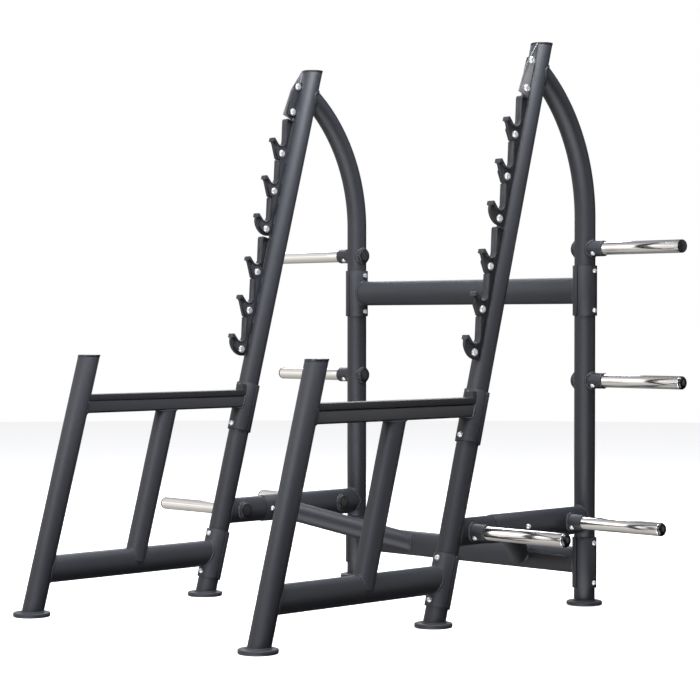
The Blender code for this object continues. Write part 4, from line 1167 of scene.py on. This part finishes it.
AIM = Vector((0.0, 0.0, 0.9))
LAMPS = {
    "key_lamp": (34, 24, 9.5, 4.9, 350.0),
    "front_lamp": (20, 30, 6.0, 3.0, 45.0),
    "left_lamp": (84, 22, 6.0, 3.0, 25.0),
    "top_lamp": (-40, 76, 4.2, 2.4, 290.0),
    "right_lamp": (-62, 60, 5.0, 2.2, 75.0),
    "back_lamp": (176, 30, 6.0, 3.0, 130.0),
    "sparkle_lamp": (-38, 20, 6.2, 1.2, 14.0),
}
PICTURE_PIXELS = 700
FOCAL_PIXELS = 2108.52
FILM_MM = 36.0


def studio_floor():
    pick()
    bpy.ops.mesh.primitive_circle_add(vertices=RING, radius=14.0, fill_type="NGON",
                                      location=(0, 0, -0.0005))
    floor = bpy.context.object
    floor.name = floor.data.name = "studio_floor"
    paint, _ = start_finish("pale_floor", None, {
        "Base Color": (0.9, 0.9, 0.9, 1.0), "Roughness": 0.9, "Specular IOR Level": 0.0,
        "Emission Color": (1.0, 1.0, 1.0, 1.0), "Emission Strength": 0.75})
    floor.data.materials.append(paint[0])
    floor.visible_diffuse = False
    floor.visible_glossy = False


def ramp(value, *stops):
    """The colour on a ramp at this value, each stop a place and a colour."""
    return value.node("ShaderNodeValToRGB", {"stops": stops}, {0: value})


def agreement(toward, direction):
    """How well a direction of view agrees with another one, from -1 to 1."""
    return toward.node("ShaderNodeVectorMath", {"operation": "DOT_PRODUCT"},
                       {0: toward, 1: direction}, 1)


def mixed(share, first, second, blend="MIX"):
    """The first colour with a share of the second mixed in, or multiplied or added."""
    return first.node("ShaderNodeMix", {"data_type": "RGBA", "blend_type": blend},
                      {0: share, 6: first, 7: second}, 2)


def studio_room():
    """White to the camera; darker for what it lights and for what shines in the metal."""
    world = bpy.data.worlds.new("studio_room")
    bpy.context.scene.world = world
    world.use_nodes = True
    tree = world.node_tree
    back = tree.nodes["Background"]
    toward = Wire(back.outputs[0]).node("ShaderNodeTexCoord", {}, {}, "Generated")
    height = toward.node("ShaderNodeSeparateXYZ", {}, {0: toward}, 2) * 0.5 + 0.5
    shine = ramp(height, (0.0, (0.55, 0.53, 0.50)), (0.30, (0.62, 0.60, 0.56)),
                 (0.40, (0.80, 0.76, 0.70)), (0.45, (0.92, 0.87, 0.80)),
                 (0.478, (0.86, 0.84, 0.80)), (0.490, (0.40, 0.39, 0.38)),
                 (0.500, (0.86, 0.83, 0.79)), (0.53, (1.0, 0.96, 0.91)),
                 (0.64, (1.05, 1.02, 0.98)), (0.69, (0.62, 0.58, 0.53)),
                 (0.74, (0.92, 0.90, 0.87)), (0.86, (0.70, 0.69, 0.68)),
                 (1.0, (0.55, 0.55, 0.55)))
    glow = ramp(height, (0.0, (0.02, 0.02, 0.02)), (0.45, (0.05, 0.05, 0.05)),
                (0.55, (0.30, 0.30, 0.31)), (1.0, (0.34, 0.34, 0.36)))
    sides = ramp(agreement(toward, (-0.80, -0.60, 0.0)) * 0.5 + 0.5,
                 (0.0, (1.30, 1.32, 1.36)), (0.015, (1.10, 1.12, 1.16)),
                 (0.040, (0.03, 0.03, 0.035)), (0.40, (0.03, 0.03, 0.035)),
                 (0.75, (0.70, 0.71, 0.73)), (1.0, (1.15, 1.15, 1.17)))
    floor_box = ramp(agreement(toward, (0.36, -0.60, -0.71)),
                     (0.70, (0.0, 0.0, 0.0)), (0.92, (5.2, 5.3, 5.5)))
    diffuse = height.node("ShaderNodeLightPath", {}, {}, "Is Diffuse Ray")
    light = mixed(1.0, mixed(diffuse, shine, glow), sides, "MULTIPLY")
    light = mixed(1.0 - diffuse, light, floor_box, "ADD")
    seen = light.node("ShaderNodeLightPath", {}, {}, "Is Camera Ray")
    tree.links.new(mixed(seen, light, (1, 1, 1, 1)).socket, back.inputs["Color"])


def studio_lamp(name, turn, height, distance, width, power):
    """A round soft box, by its turn to the left of the camera and its height angle."""
    away, rise = math.radians(45.0 + turn), math.radians(height)
    place = AIM + distance * Vector((math.cos(away) * math.cos(rise),
                                     -math.sin(away) * math.cos(rise), math.sin(rise)))
    pick()
    bpy.ops.object.light_add(type="AREA", location=place)
    lamp = bpy.context.object
    lamp.name = name
    lamp.data.shape = "DISK"
    lamp.data.size = width
    lamp.data.energy = power
    lamp.data.color = (0.95, 0.975, 1.03)
    lamp.rotation_euler = (AIM - place).to_track_quat("-Z", "Y").to_euler()


def studio_camera():
    place = Vector((5.1709, -5.0076, 0.9839))
    turn, dip, roll = math.radians(44.937), math.radians(0.749), math.radians(0.0275)
    forward = Vector((-math.sin(turn) * math.cos(dip), math.cos(turn) * math.cos(dip),
                      -math.sin(dip)))
    right = Vector((math.cos(turn), math.sin(turn), 0.0))
    up = right.cross(forward)
    right, up = (right * math.cos(roll) + up * math.sin(roll),
                 up * math.cos(roll) - right * math.sin(roll))
    bpy.ops.object.camera_add()
    camera = bpy.context.object
    camera.name = "studio_camera"
    camera.matrix_world = (Matrix.Translation(place)
                           @ Matrix((right, up, -forward)).transposed().to_4x4())
    camera.data.sensor_width = FILM_MM
    camera.data.lens = FOCAL_PIXELS / PICTURE_PIXELS * FILM_MM
    camera.data.clip_end = 100.0
    bpy.context.scene.camera = camera


studio_floor()
studio_room()
for name, settings in LAMPS.items():
    studio_lamp(name, *settings)
studio_camera()
bpy.context.scene.view_settings.view_transform = "Standard"
